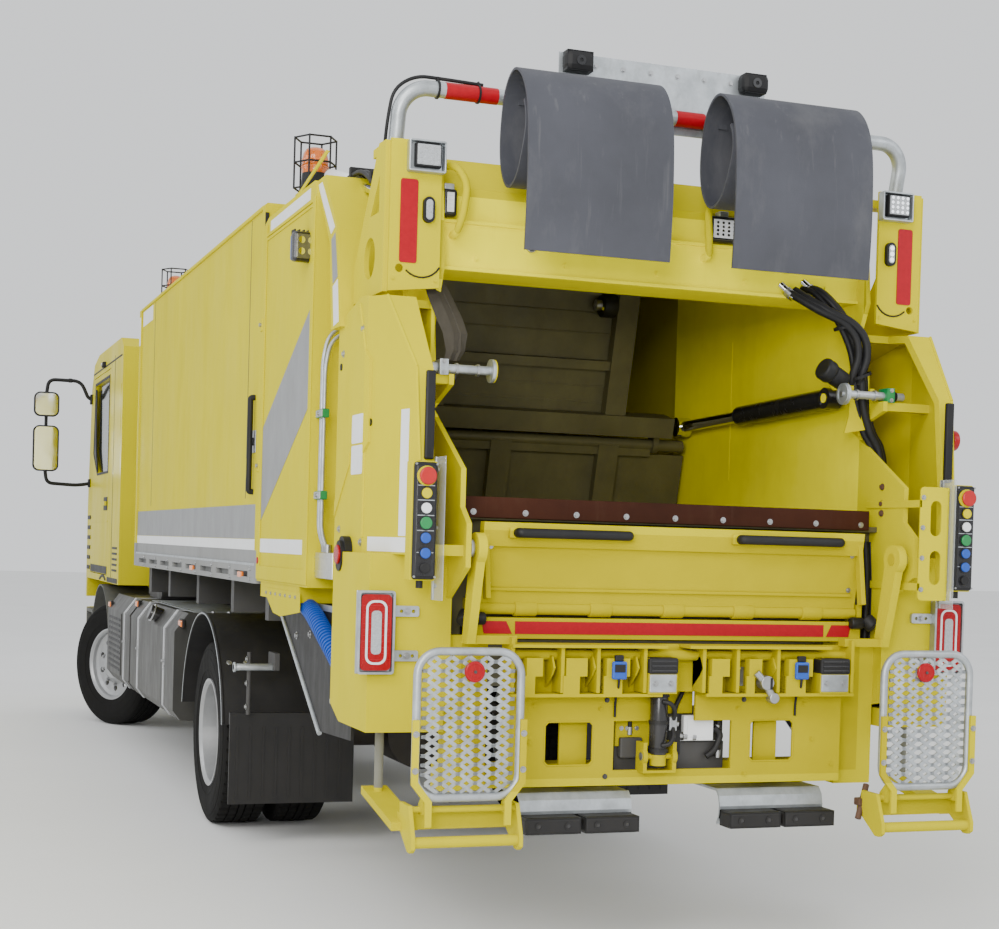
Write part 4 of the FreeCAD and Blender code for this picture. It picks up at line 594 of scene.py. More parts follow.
# small parts on the frame, seen through the comb plate's middle window
p = Piece("lift_pipework", T, "worn_steel")
p.box(-0.475, -0.360, Y(0.315), Y(0.330), 0.700, 1.010, "yellow", 0.003)
p.box(0.362, 0.465, Y(0.315), Y(0.330), 0.700, 1.010, "yellow", 0.003)
p.box(-0.240, -0.095, Y(0.318), Y(0.330), 0.835, 0.940, "yellow", 0.002)
for x, z in ((-0.215, 0.905), (-0.190, 0.905), (-0.150, 0.905)):
    p.bolt((x, Y(0.318), z), (0, -1, 0), 0.006, 0.004, "steel")
p.box(-0.020, 0.095, Y(0.330), Y(0.342), 0.960, 1.060, "yellow", 0.002)
p.box(-0.235, 0.240, Y(0.335), Y(0.347), 0.735, 0.850, "dark", 0.006)
p.box(-0.020, 0.240, Y(0.345), Y(0.357), 0.850, 0.990, "dark", 0.006)
p.tube([(0.02, Y(0.320), 0.875), (0.06, Y(0.312), 0.872), (0.120, Y(0.312), 0.868)], 0.012, "steel", 0.02, 10)
p.cyl((0.045, Y(0.313), 0.872), (0.062, Y(0.313), 0.872), 0.018, "steel", 6)
p.cyl((0.085, Y(0.312), 0.870), (0.100, Y(0.312), 0.870), 0.018, "steel", 6)
p.tube([(0.185, Y(0.316), 0.905), (0.215, Y(0.312), 0.880), (0.190, Y(0.312), 0.815), (0.155, Y(0.318), 0.790)], 0.013, "black", 0.03, 10)
p.box(0.045, 0.175, Y(0.300), Y(0.328), 0.855, 0.955, "white", 0.004)
p.box(0.060, 0.160, Y(0.298), Y(0.301), 0.868, 0.942, "white", 0.001)
p.box(-0.225, -0.130, Y(0.300), Y(0.330), 0.790, 0.870, "dark", 0.006)
p.box(-0.010, 0.030, Y(0.295), Y(0.330), 0.800, 0.900, "black", 0.005)
for x, z in ((-0.18, 0.895), (0.010, 0.915), (0.205, 0.80), (0.20, 0.90)):
    p.cyl((x, Y(0.318), z - 0.015), (x, Y(0.318), z + 0.015), 0.012, "steel", 6)
p.tube([(-0.18, Y(0.318), 0.90), (-0.18, Y(0.318), 0.985), (-0.20, Y(0.325), 1.05)], 0.009, "black", 0.03, 10)
p.tube([(0.010, Y(0.318), 0.92), (0.012, Y(0.318), 0.985), (0.05, Y(0.325), 1.05)], 0.009, "black", 0.03, 10)
p.tube([(0.205, Y(0.318), 0.80), (0.205, Y(0.318), 0.90), (0.215, Y(0.325), 1.05)], 0.009, "black", 0.03, 10)
p.done()

# ------------------------------------------------------------------ footboards with expanded mesh


def footboard(side, sx):
    body = side + "_footboard"
    p = Piece(body + "_look", body, "galvanised")
    x0, x1, z0, z1, r = 0.757, 1.148, 0.700, 1.222, 0.085
    loop = [Vector((sx * a, Y(0.0), b)) for a, b in rrect(x0, x1, z0, z1, r, 8)]
    n = 14
    path = loop + [loop[0]]
    vs, fs = [], []
    m = len(loop)
    for i in range(m):
        a, b = loop[i - 1], loop[(i + 1) % m]
        t = (b - a).normalized()
        u = Vector((0, 1, 0))
        w = t.cross(u)
        for k in range(n):
            q = 2 * math.pi * k / n
            vs.append(loop[i] + u * (0.015 * math.cos(q)) + w * (0.015 * math.sin(q)))
    for i in range(m):
        for k in range(n):
            j = (i + 1) % m
            fs.append([i * n + k, i * n + (k + 1) % n, j * n + (k + 1) % n, j * n + k])
    p.add(vs, fs, "galv", True)
    # expanded mesh: zigzag strands, tilted as stretched sheet is
    px_, pz = 0.066, 0.0335
    nz = int((z1 - z0) / pz) + 1
    cx, cz = (x0 + x1) / 2, (z0 + z1) / 2

    def ins(a, b, g=0.008):
        a0, b0 = abs(a - cx), abs(b - cz)
        hx, hz = (x1 - x0) / 2 - g, (z1 - z0) / 2 - g
        if a0 > hx or b0 > hz:
            return False
        if a0 > hx - r and b0 > hz - r:
            return math.hypot(a0 - hx + r, b0 - hz + r) < r
        return True
    for i in range(nz + 1):
        zb = z0 + i * pz
        k = 0
        x = x0 - px_
        while x < x1 + px_:
            for xa, za, xb, zb2 in ((x, zb, x + px_ * 0.36, zb + pz / 2), (x + px_ * 0.36, zb + pz / 2, x + px_ * 0.64, zb + pz / 2),
                                    (x + px_ * 0.64, zb + pz / 2, x + px_, zb), ):
                for rep_ in (0, 1):
                    if rep_:
                        za, zb2 = 2 * zb + pz - za, 2 * zb + pz - zb2
                    if not (ins(xa, za) and ins(xb, zb2)):
                        continue
                    a = Vector((sx * xa, Y(0.0), za)); b = Vector((sx * xb, Y(0.0), zb2))
                    d = (b - a).normalized()
                    nn = d.cross(Vector((0, 1, 0)))
                    e = nn * 0.0068
                    g = Vector((0, 0.0042, 0))
                    q = [a + e + g, a - e + g * 0.2, a - e - g, a + e - g * 0.2, b + e + g, b - e + g * 0.2, b - e - g, b + e - g * 0.2]
                    p.add(q, [[0, 1, 2, 3], [7, 6, 5, 4], [0, 4, 5, 1], [1, 5, 6, 2], [2, 6, 7, 3], [3, 7, 4, 0]], "galv")
            x += px_
    # hinge lugs
    for x in (0.785, 1.100):
        p.plate("yz", [(Y(-0.012), 0.712), (Y(0.012), 0.712), (Y(0.052), 0.672), (Y(0.052), 0.638), (Y(0.010), 0.638)],
                [circle(Y(0.03), 0.655, 0.0121, 16)], *sorted((sx * x, sx * (x + 0.016))), "yellow")
    # forked arms from the hinge to the frame's sides
    for m_ in (0, 1):
        q = [(0.738, 0.98), (0.762, 0.98), (0.762, 0.76), (0.815, 0.69), (0.815, 0.60), (0.790, 0.60), (0.790, 0.685), (0.738, 0.75)]
        if m_:
            q = [(1.905 - a, b) for a, b in q]
        p.plate("xz", [(sx * a, b) for a, b in q], [], Y(-0.027), Y(-0.0155), "yellow")
    for a, b in ((0.750, 0.93), (1.155, 0.93), (0.750, 0.80), (1.155, 0.80)):
        p.bolt((sx * a, Y(-0.027), b), (0, -1, 0), 0.008, 0.005, "steel")
    # round red reflector
    c = (sx * 0.938, Y(-0.004), 1.150)
    p.cyl(c, (c[0], Y(-0.018), c[2]), 0.038, "redlamp", 28, bev=0.004)
    p.ring((c[0], Y(-0.0195), c[2]), (0, 1, 0), 0.030, 0.0345, 0.003, "redfilm", 24)
    p.cyl((c[0], Y(-0.0215), c[2]), (c[0], Y(-0.012), c[2]), 0.006, "dark", 12)
    o = p.done()
    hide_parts(body)


footboard("left", -1)
footboard("right", 1)

# ------------------------------------------------------------------ underrun plates: rubber blocks
p = Piece("rubber_buffers", T, "rubber")
for sx in (-1, 1):
    for c in (0.305, 0.545):
        a, b = sx * (c - 0.1135), sx * (c + 0.1135)
        p.box(a, b, Y(0.1685), Y(0.2610), 0.5225, 0.5875, "black", 0.012)
        for dx in (-0.06, 0.06):
            p.ring((sx * c + dx, Y(0.1660), 0.555), (0, 1, 0), 0.009, 0.016, 0.004, "black", 18)
            p.cyl((sx * c + dx, Y(0.1672), 0.555), (sx * c + dx, Y(0.172), 0.555), 0.008, "blackgloss", 14)
p.done()
p = Piece("buffer_bolts", T, "galvanised")
for sx in (-1, 1):
    for c in (0.225, 0.36, 0.47, 0.60):
        p.bolt((sx * c, Y(0.300), 0.640), (0, -0.6, 0.8), 0.009, 0.006, "steel")
p.done()

# ------------------------------------------------------------------ lamp plates and work lamps


def work_lamp(p, x0, x1, y, z0, z1, d=0.045):
    """Square LED lamp: finned housing and a clear front with a grid of emitters. Looks to -Y."""
    p.box(x0, x1, y - d, y, z0, z1, "black", 0.010)
    p.box(x0 + 0.006, x1 - 0.006, y - d - 0.004, y - d + 0.004, z0 + 0.006, z1 - 0.006, "blackgloss", 0.006)
    p.box(x0 + 0.014, x1 - 0.014, y - d - 0.006, y - d, z0 + 0.014, z1 - 0.014, "whitelens", 0.004)
    nx, nz = 4, 4
    wx, wz = (x1 - x0 - 0.04) / nx, (z1 - z0 - 0.04) / nz
    for i in range(nx):
        for j in range(nz):
            cx, cz = x0 + 0.02 + (i + 0.5) * wx, z0 + 0.02 + (j + 0.5) * wz
            p.cyl((cx, y - d - 0.0065, cz), (cx, y - d - 0.002, cz), min(wx, wz) * 0.36, "mirror", 10)
    for i in range(5):
        xx = x0 + 0.012 + i * (x1 - x0 - 0.024) / 4
        p.box(xx - 0.002, xx + 0.002, y - 0.002, y + 0.010, z0 + 0.01, z1 - 0.01, "black")


p = Piece("upper_lamps_look", T, "lamp")
for sx in (-1, 1):
    xs = sorted((sx * 0.958, sx * 1.098))
    p.box(xs[0], xs[1], Y(0.430), Y(0.4705), 3.116, 3.123, "galv", 0.002)
    p.box(xs[0], xs[1], Y(0.430), Y(0.4705), 3.003, 3.010, "galv", 0.002)
    for xx in xs:
        p.box(xx - 0.003, xx + 0.003, Y(0.432), Y(0.4705), 3.006, 3.120, "galv", 0.002)
    p.box(xs[0] + 0.004, xs[1] - 0.004, Y(0.462), Y(0.470), 3.008, 3.118, "galv", 0.002)
    p.box(xs[0] + 0.022, xs[1] - 0.014, Y(0.434), Y(0.464), 3.022, 3.112, "black", 0.006)
    p.box(xs[0] + 0.028, xs[1] - 0.020, Y(0.430), Y(0.436), 3.029, 3.106, "ledlens", 0.004)
    for i in range(4):
        for j in range(4):
            cx_, cz_ = xs[0] + 0.040 + i * 0.0235, 3.039 + j * 0.0195
            p.cyl((cx_, Y(0.4288), cz_), (cx_, Y(0.432), cz_), 0.0062, "mirror", 10)
    xs = sorted((sx * 1.049, sx * 1.126))
    p.plate("xz", rrect(xs[0] + 0.004, xs[1] - 0.004, 2.662, 2.978, 0.010, 4), [], Y(0.4668), Y(0.4705), "redfilm")
    # oval lamp
    c = sx * 1.012
    p.plate("xz", slot_hole(c, 2.866, 0.044, 0.098, 8), [], Y(0.450), Y(0.470), "black")
    p.plate("xz", slot_hole(c, 2.866, 0.026, 0.076, 8), [], Y(0.447), Y(0.452), "ledlens")
    for k in range(3):
        p.cyl((c, Y(0.4455), 2.842 + k * 0.024), (c, Y(0.449), 2.842 + k * 0.024), 0.010, "mirror", 12)
    # bracket screws and the curved slot low on the plate
    for x, z in ((1.145, 2.60), (0.975, 2.60)):
        p.bolt((sx * x, Y(0.470), z), (0, -1, 0), 0.005, 0.004, "yellow")
    pts = []
    for k in range(9):
        a = math.radians(210 + k * 13)
        pts.append(Vector((sx * (1.035 + 0.085 * math.cos(a)), Y(0.4685), 2.695 + 0.085 * math.sin(a))))
    p.sweep(pts, 0.0035, "black", 6)
o = p.done()
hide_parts("upper_lamps")

# ------------------------------------------------------------------ bent tube, top plate
p = Piece("tube_bands", T, "lamp")
for x0, x1 in ((-0.935, -0.722), (0.040, 0.166), (0.860, 0.925)):
    p.cyl((x0, Y(0.545), 3.345), (x1, Y(0.545), 3.345), 0.0315, "redfilm", 24)
p.done()
p = Piece("tube_cable", T, "rubber")
p.tube([(-1.150, Y(0.62), 3.10), (-1.152, Y(0.575), 3.22), (-1.135, Y(0.56), 3.335), (-1.05, Y(0.555), 3.392), (-0.90, Y(0.550), 3.388), (-0.78, Y(0.546), 3.383)], 0.007, "black", 0.08, 8)
for x in (-0.965, -0.800):
    p.ring((x - 0.004, Y(0.545), 3.345), (1, 0, 0), 0.030, 0.036, 0.008, "black", 18)
    p.box(x - 0.004, x + 0.004, Y(0.538), Y(0.560), 3.376, 3.394, "black", 0.002)
p.done()
p = Piece("top_plate_details", T, "galvanised")
for i in range(8):
    x = -0.42 + i * 0.12
    p.bolt((x, Y(0.570), 3.52), (0, -1, 0), 0.008, 0.005, "steel")
    p.bolt((x, Y(0.570), 3.36), (0, -1, 0), 0.008, 0.005, "steel")
for x in (-0.386, 0.3905):
    p.box(x - 0.060, x + 0.060, Y(0.511), Y(0.583), 3.480, 3.5595, "black", 0.022)
    p.ring((x, Y(0.508), 3.520), (0, 1, 0), 0.008, 0.020, 0.004, "blackgloss", 20)
p.done()

# ------------------------------------------------------------------ rubber flaps: hangers, clamps
p = Piece("flap_hangers", T, "galvanised")
for x in (-0.642, -0.210, 0.216, 0.662):
    p.ring((x - 0.022, Y(0.545), 3.345), (1, 0, 0), 0.030, 0.037, 0.044, "galv", 24)
    p.box(x - 0.022, x + 0.022, Y(0.4835), Y(0.516), 3.303, 3.347, "galv", 0.003)
    for z in (3.313, 3.338):
        p.bolt((x, Y(0.484), z), (0, -1, 0), 0.006, 0.004, "steel")
p.done()

# ------------------------------------------------------------------ lamps and handles under the top edge
p = Piece("hopper_lamps", T, "lamp")
for x0, x1 in ((-0.930, -0.872), (0.212, 0.352)):
    work_lamp(p, x0, x1, Y(0.575), 2.868, 2.972, 0.035)
    p.box((x0 + x1) / 2 - 0.02, (x0 + x1) / 2 + 0.02, Y(0.555), Y(0.60), 2.965, 2.995, "galv", 0.003)
p.done()
p = Piece("top_j_handles", T, "yellow_paint")
for x, s in ((-0.848, 1), (0.175, -1)):
    p.tube([(x + s * -0.03, Y(0.585), 2.80), (x + s * -0.03, Y(0.53), 2.80), (x - s * 0.015, Y(0.50), 2.86), (x, Y(0.49), 2.985), (x - s * 0.045, Y(0.50), 3.055), (x - s * 0.085, Y(0.59), 3.060)], 0.015, "yellow", 0.045, 12)
p.done()
p = Piece("beam_rail", T, "yellow_paint")
p.box(-0.93, 0.93, Y(0.566), Y(0.582), 2.848, 2.862, "yellow", 0.003)
p.box(-0.93, 0.93, Y(0.566), Y(0.582), 2.665, 2.680, "yellow", 0.003)
for x in (-0.78, -0.40, 0.0, 0.40, 0.78):
    p.bolt((x, Y(0.580), 2.72), (0, -1, 0), 0.010, 0.007, "yellow")
for x, z in ((0.47, 2.79), (-0.55, 2.78), (0.60, 2.79)):
    p.cyl((x, Y(0.568), z), (x, Y(0.581), z), 0.020, "steel", 18, bev=0.002)
p.done()

# ------------------------------------------------------------------ grab tubes
p = Piece("grab_details", T, "galvanised")
ZG = 2.264
for sx in (-1, 1):
    p.cyl((sx * 0.760, Y(0.385), ZG), (sx * 0.7655, Y(0.385), ZG), 0.043, "galv", 26, bev=0.002)
    p.ring((sx * 0.7575, Y(0.385), ZG), (sx, 0, 0), 0.034, 0.044, 0.004, "yellow" if sx < 0 else "galv", 26)
    p.cyl((sx * 0.752, Y(0.385), ZG), (sx * 0.761, Y(0.385), ZG), 0.012, "steel", 6)
    for x in (0.820, 0.905):
        p.ring((sx * x, Y(0.385), ZG), (sx, 0, 0), 0.0172, 0.0225, 0.010, "steel", 24)
    p.box(sx * 0.9545, sx * 0.9855, Y(0.3480), Y(0.3515), 2.236, 2.296, "green" if sx > 0 else "galv", 0.002)
    p.box(sx * 0.951, sx * 0.955, Y(0.350), Y(0.420), 2.236, 2.296, "green" if sx > 0 else "galv", 0.001)
    for dx, dz in ((0.970, 2.246), (0.970, 2.286)):
        p.bolt((sx * dx, Y(0.348), dz), (0, -1, 0), 0.006, 0.005, "steel")
    # plain end of the tube and its stop
    p.cyl((sx * 0.9855, Y(0.385), ZG), (sx * 1.010, Y(0.385), ZG), 0.0215, "black" if sx > 0 else "galv", 20, bev=0.003)
p.done()

# black edge strips beside the hopper's mouth
p = Piece("edge_strips", T, "rubber")
for sx in (-1, 1):
    p.box(sx * 1.075, sx * 1.110, Y(0.105), Y(0.125), 1.905, 2.225, "black", 0.006)
p.done()

# ------------------------------------------------------------------ control boxes


def button(p, x, z, r, key, guard=False, y=0.030):
    p.cyl((x, Y(y - 0.004), z), (x, Y(y), z), r * 1.25, "blackgloss", 22)
    p.cyl((x, Y(y - 0.014), z), (x, Y(y - 0.004), z), r, key, 22, bev=0.003)


p = Piece("control_boxes_look", T, "control")
for sx in (-1, 1):
    xa, xb = sx * 1.078, sx * 1.172
    p.box(xa, xb, Y(0.052), Y(0.121), 1.4695, 1.8955, "yellow", 0.004)
    p.box(xa + sx * 0.004, xb - sx * 0.004, Y(0.030), Y(0.054), 1.474, 1.892, "black", 0.010)
    p.box(xa + sx * 0.012, xb - sx * 0.012, Y(0.027), Y(0.031), 1.486, 1.880, "blackgloss", 0.004)
    for z in (1.570, 1.648, 1.702, 1.756, 1.808):
        p.box(xa + sx * 0.016, xb - sx * 0.016, Y(0.0255), Y(0.0275), z - 0.0015, z + 0.0015, "galv")
    cx = sx * 1.125
    # emergency stop: yellow ring, red mushroom
    p.cyl((cx, Y(0.022), 1.842), (cx, Y(0.028), 1.842), 0.036, "yellow", 26)
    p.cyl((cx, Y(0.012), 1.842), (cx, Y(0.024), 1.842), 0.018, "black", 18)
    p.cyl((cx, Y(0.002), 1.842), (cx, Y(0.014), 1.842), 0.032, "red", 26, bev=0.005)
    for z, k in ((1.781, "yellow"), (1.728, "white"), (1.675, "green"), (1.622, "blue"), (1.568, "blue"), (1.515, "black")):
        button(p, cx, z, 0.019 if k != "green" else 0.022, k, y=0.028)
    for z in (1.484, 1.884):
        for dx in (-0.038, 0.038):
            p.cyl((cx + dx, Y(0.025), z), (cx + dx, Y(0.031), z), 0.004, "steel", 8)
    # cable gland below
    p.cyl((cx, Y(0.085), 1.442), (cx, Y(0.085), 1.470), 0.013, "black", 14)
o = p.done()
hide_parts("control_boxes")
# clear guard strips beside the boxes
p = Piece("control_guards", T, "glass")
for sx in (-1, 1):
    p.box(sx * 1.0600, sx * 1.0640, Y(0.006), Y(0.1185), 1.40, 1.915, "clear", 0.001)
    p.box(sx * 1.0640, sx * 1.0700, Y(0.100), Y(0.1185), 1.40, 1.915, "galv", 0.001)
    for z in (1.45, 1.66, 1.87):
        p.bolt((sx * 1.0600, Y(0.108), z), (-sx, 0, 0), 0.006, 0.004, "steel")
p.done()

# ------------------------------------------------------------------ tail lamps
p = Piece("tail_lamps_look", T, "lamp")
for sx in (-1, 1):
    x0, x1 = sorted((sx * 1.158, sx * 1.298))
    z0, z1 = 1.118, 1.425
    cx, cz = (x0 + x1) / 2, (z0 + z1) / 2
    # galvanised tray with an upstanding rim
    p.box(x0, x1, Y(0.292), Y(0.300), z0, z1, "galv", 0.003)
    outer = rrect(x0, x1, z0, z1, 0.012, 4)
    inner = rrect(x0 + 0.008, x1 - 0.008, z0 + 0.008, z1 - 0.008, 0.008, 4)
    p.plate("xz", outer, [inner], Y(0.262), Y(0.294), "galv")
    lens = rrect(x0 + 0.012, x1 - 0.012, z0 + 0.014, z1 - 0.014, 0.018, 5)
    p.plate("xz", lens, [], Y(0.268), Y(0.292), "redlamp")
    # white ring and red middle
    o2 = rrect(cx - 0.040, cx + 0.040, cz - 0.118, cz + 0.118, 0.030, 6)
    i2 = rrect(cx - 0.032, cx + 0.032, cz - 0.110, cz + 0.110, 0.024, 6)
    p.plate("xz", o2, [i2], Y(0.265), Y(0.270), "whitelens")
    o3 = rrect(cx - 0.019, cx + 0.019, cz - 0.080, cz + 0.080, 0.014, 6)
    i3 = rrect(cx - 0.013, cx + 0.013, cz - 0.074, cz + 0.074, 0.010, 6)
    p.plate("xz", o3, [], Y(0.2645), Y(0.270), "ledlens")
    for k in range(10):
        z = cz - 0.099 + k * 0.022
        p.box(cx - 0.050, cx + 0.050, Y(0.2672), Y(0.2690), z - 0.0015, z + 0.0015, "redfilm")
    a, b = sorted((sx * 1.060, sx * 1.159))
    for zz in (1.185, 1.350):
        p.plate("xz", rrect(a, b, zz - 0.020, zz + 0.020, 0.008), [circle(sx * 1.082, zz, 0.007, 12), circle(sx * 1.128, zz, 0.007, 12)], Y(0.285), Y(0.300), "galv")
        p.bolt((sx * 1.105, Y(0.285), zz), (0, -1, 0), 0.009, 0.006, "steel")
o = p.done()
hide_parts("tail_lamps")

# ------------------------------------------------------------------ beacons


def beacon_look(name, node, body, x, y, z):
    p = Piece(name, body, "amber")
    p.cyl((x, y, z), (x, y, z + 0.020), 0.070, "black", 32, bev=0.003)
    p.cyl((x, y, z + 0.020), (x, y, z + 0.085), 0.064, "black", 32, r2=0.060)
    prof = [(0.085, 0.0595), (0.100, 0.0615), (0.150, 0.0605), (0.178, 0.055), (0.196, 0.043), (0.205, 0.022), (0.207, 0.0005)]
    vs, fs, n = [], [], 32
    for h, r in prof:
        for i in range(n):
            rr = r * (1 + 0.012 * (i % 2)) if h < 0.17 else r
            a = 2 * math.pi * i / n
            vs.append((x + rr * math.cos(a), y + rr * math.sin(a), z + h))
    for j in range(len(prof) - 1):
        for i in range(n):
            fs.append([j * n + i, j * n + (i + 1) % n, (j + 1) * n + (i + 1) % n, (j + 1) * n + i])
    p.add(vs, fs, "amber", True)
    p.ring((x, y, z + 0.110), (0, 0, 1), 0.060, 0.0645, 0.006, "orange", 32)
    p.ring((x, y, z + 0.142), (0, 0, 1), 0.058, 0.0635, 0.005, "orange", 32)
    hexa = [(x + 0.098 * math.cos(math.radians(60 * i)), y + 0.098 * math.sin(math.radians(60 * i))) for i in range(6)]
    for h in (0.013, 0.130, 0.244):
        for i in range(6):
            a, b = hexa[i], hexa[(i + 1) % 6]
            p.cyl((a[0], a[1], z + h), (b[0], b[1], z + h), 0.0045, "black", 8)
    for a in hexa:
        p.cyl((a[0], a[1], z + 0.010), (a[0], a[1], z + 0.248), 0.0045, "black", 8)
    for i in (0, 2, 4):
        a = hexa[i]
        p.cyl((a[0], a[1], z + 0.012), (x, y, z + 0.012), 0.0045, "black", 8)
    o = p.done()
    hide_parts(node)


beacon_look("rear_beacon_look", "rear_beacon", T, -1.100, Y(1.97), 3.200)
beacon_look("front_beacon_look", "front_beacon", "chassis", -1.060, Y(6.25), 3.208)

# ------------------------------------------------------------------ tyres with tread, rims with nuts


def tyre(p, c, ax, half, r=0.507, ri=0.292, drive=True):
    """Truck tyre about the axis ax through c: bulged sidewalls and a grooved, blocked tread."""
    c, ax = Vector(c), Vector(ax).normalized()
    a = Vector((0, 0, 1))
    a = (a - ax * a.dot(ax)).normalized()
    b = ax.cross(a)
    h = half
    prof = [(-h * 0.83, ri), (-h * 0.90, ri + 0.012), (-h * 0.985, ri + 0.06), (-h, ri + 0.115), (-h * 0.985, ri + 0.150), (-h * 0.93, r - 0.028),
            (-h * 0.86, r - 0.010)]
    # tread: ribs between four grooves
    ribs = [(-h * 0.80, -h * 0.50), (-h * 0.44, -h * 0.16), (-h * 0.10, h * 0.10), (h * 0.16, h * 0.44), (h * 0.50, h * 0.80)]
    for i, (u, v) in enumerate(ribs):
        prof += [(u, r - (0.003 if i in (0, 4) else 0.0)), (v, r - (0.003 if i in (0, 4) else 0.0))]
        if i < 4:
            prof += [(v + h * 0.008, r - 0.014), (ribs[i + 1][0] - h * 0.008, r - 0.014)]
    prof += [(h * 0.86, r - 0.010), (h * 0.93, r - 0.028), (h * 0.985, ri + 0.150), (h, ri + 0.115), (h * 0.985, ri + 0.06), (h * 0.90, ri + 0.012), (h * 0.83, ri)]
    m = 192
    vs, fs = [], []
    for k in range(m):
        t = 2 * math.pi * k / m
        d = a * math.cos(t) + b * math.sin(t)
        cutb = (k % 4 == 3) and drive
        for (w, rr) in prof:
            if rr > r - 0.009 and cutb and abs(w) > h * 0.12:
                rr -= 0.010
            vs.append(c + ax * w + d * rr)
    n = len(prof)
    for k in range(m):
        for j in range(n - 1):
            q = (k + 1) % m
            fs.append([k * n + j, q * n + j, q * n + j + 1, k * n + j + 1])
    p.add(vs, fs, "tyre", False)
    # raised rings on the sidewall
    for s in (-1, 1):
        for rr in (ri + 0.055, ri + 0.125, r - 0.045):
            cc = c + ax * (s * h * (0.978 if rr < ri + 0.1 else 0.990 if rr < r - 0.06 else 0.955))
            p.ring(cc - ax * 0.0015, ax, rr, rr + 0.004, 0.004, "tyre", 72)


def wheel_nuts(p, c, ax, s, dist, rn=0.1675, n=10, hub=0.085, depth=0.05):
    c, ax = Vector(c), Vector(ax).normalized()
    a = Vector((0, 0, 1)); b = ax.cross(a)
    for k in range(n):
        t = math.radians(36 * k)
        q = c + (a * math.cos(t) + b * math.sin(t)) * rn + ax * (s * dist)
        p.cyl(q, q + ax * (s * 0.010), 0.020, "steel", 14)
        p.cyl(q + ax * (s * 0.010), q + ax * (s * 0.030), 0.0165, "steel", 6)
        p.cyl(q + ax * (s * 0.030), q + ax * (s * 0.038), 0.010, "steel", 10)
    q = c + ax * (s * dist)
    p.cyl(q, q + ax * (s * depth), hub, "cast", 32, r2=hub * 0.86)
    p.cyl(q + ax * (s * depth), q + ax * (s * (depth + 0.008)), hub * 0.78, "rim", 28, bev=0.002)
    for k in range(8):
        t = math.radians(45 * k)
        w = q + (a * math.cos(t) + b * math.sin(t)) * (hub * 0.62) + ax * (s * (depth + 0.008))
        p.cyl(w, w + ax * (s * 0.006), 0.007, "steel", 6)


for side, sx in (("left", -1), ("right", 1)):
    p = Piece("rear_%s_tyres_look" % side, "rear_%s_wheels" % side, "tyre")
    for cc in (1.067, 0.732):
        tyre(p, (sx * cc, Y(3.79), 0.507), (1, 0, 0), 0.1425)
    o = p.done()
    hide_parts("rear_%s_tyres" % side)
    p = Piece("rear_%s_nuts" % side, "rear_%s_wheels" % side, "silver_rim")
    wheel_nuts(p, (sx * 1.067, Y(3.79), 0.507), (1, 0, 0), sx, -0.052 + 0.0, depth=0.115)
    p.done()
t28 = math.radians(28)
ax_f = (math.cos(t28), math.sin(t28), 0)
for side, sx in (("left", -1), ("right", 1)):
    c = (sx * 0.860 + math.cos(t28) * sx * 0.175, 3.865 + math.sin(t28) * sx * 0.175, 0.507)
    p = Piece("front_%s_tyre_look" % side, "front_%s_wheel" % side, "tyre")
    tyre(p, c, ax_f, 0.152, drive=False)
    o = p.done()
    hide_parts("front_%s_tyre" % side)
    p = Piece("front_%s_nuts" % side, "front_%s_wheel" % side, "silver_rim")
    wheel_nuts(p, c, ax_f, sx, 0.062, depth=0.060, hub=0.075)
    p.done()

# ------------------------------------------------------------------ tank and box straps, markers
p = Piece("tank_straps", "chassis", "galvanised")
oct_l = [(-1.235, 0.520), (-1.185, 0.455), (-0.640, 0.455), (-0.600, 0.520), (-0.600, 1.080), (-0.640, 1.125), (-1.150, 1.125), (-1.235, 1.010)]


def strap(p, y, w=0.022, t=0.005, key="alu"):
    pts = oct_l
    n = len(pts)
    cx = -0.92; cz = 0.79
    outer = [(cx + (a - cx) * (1 + t / abs(a - cx) if abs(a - cx) > 0.05 else 1), cz + (b - cz) * (1 + t / max(0.1, abs(b - cz)))) for a, b in pts]
    vs, fs = [], []
    for yy in (y - w, y + w):
        for a, b in outer:
            vs.append((a, yy, b))
    for i in range(n):
        j = (i + 1) % n
        fs.append([i, j, n + j, n + i])
    for yy in (y - w, y + w):
        k0 = len(vs)
        for (a, b), (c_, d) in zip(outer, pts):
            vs.append((a, yy, b)); vs.append((c_, yy, d))
        for i in range(n):
            j = (i + 1) % n
            fs.append([k0 + 2 * i, k0 + 2 * j, k0 + 2 * j + 1, k0 + 2 * i + 1])
    p.add(vs, fs, key)


for y in (5.25, 6.45, 7.20):
    strap(p, Y(y))
for y in (5.25, 6.45, 7.20):
    p.box(-1.243, -1.236, Y(y) - 0.012, Y(y) + 0.012, 0.74, 0.86, "steel", 0.002)
    p.bolt((-1.243, Y(y), 0.80), (-1, 0, 0), 0.010, 0.008, "steel")
p.done()
p = Piece("tank_details", "chassis", "dark_frame")
# seams, cap, step plate and louvres on the tank and the box
p.box(-1.240, -1.234, Y(6.862), Y(6.918), 0.53, 1.00, "dark", 0.002)
p.cyl((-1.150, Y(5.75), 1.05), (-1.262, Y(5.75), 1.092), 0.050, "blackgloss", 26, bev=0.004)
p.cyl((-1.235, Y(5.75), 1.085), (-1.243, Y(5.75), 1.088), 0.060, "alu", 26)
for i in range(10):
    z = 0.56 + i * 0.042
    p.box(-1.241, -1.233, Y(7.42), Y(8.10), z, z + 0.020, "black", 0.003, Matrix.Rotation(math.radians(14), 3, "Y"))
p.box(-1.242, -1.234, Y(7.36), Y(7.39), 0.53, 1.00, "tankgrey", 0.002)
p.box(-1.10, -0.66, Y(4.95), Y(6.75), 1.124, 1.130, "galv", 0.001)
for i in range(12):
    p.box(-1.08, -0.68, Y(5.02 + i * 0.14), Y(5.05 + i * 0.14), 1.130, 1.134, "galv", 0.001)
p.done()
p = Piece("side_markers", "chassis", "lamp")
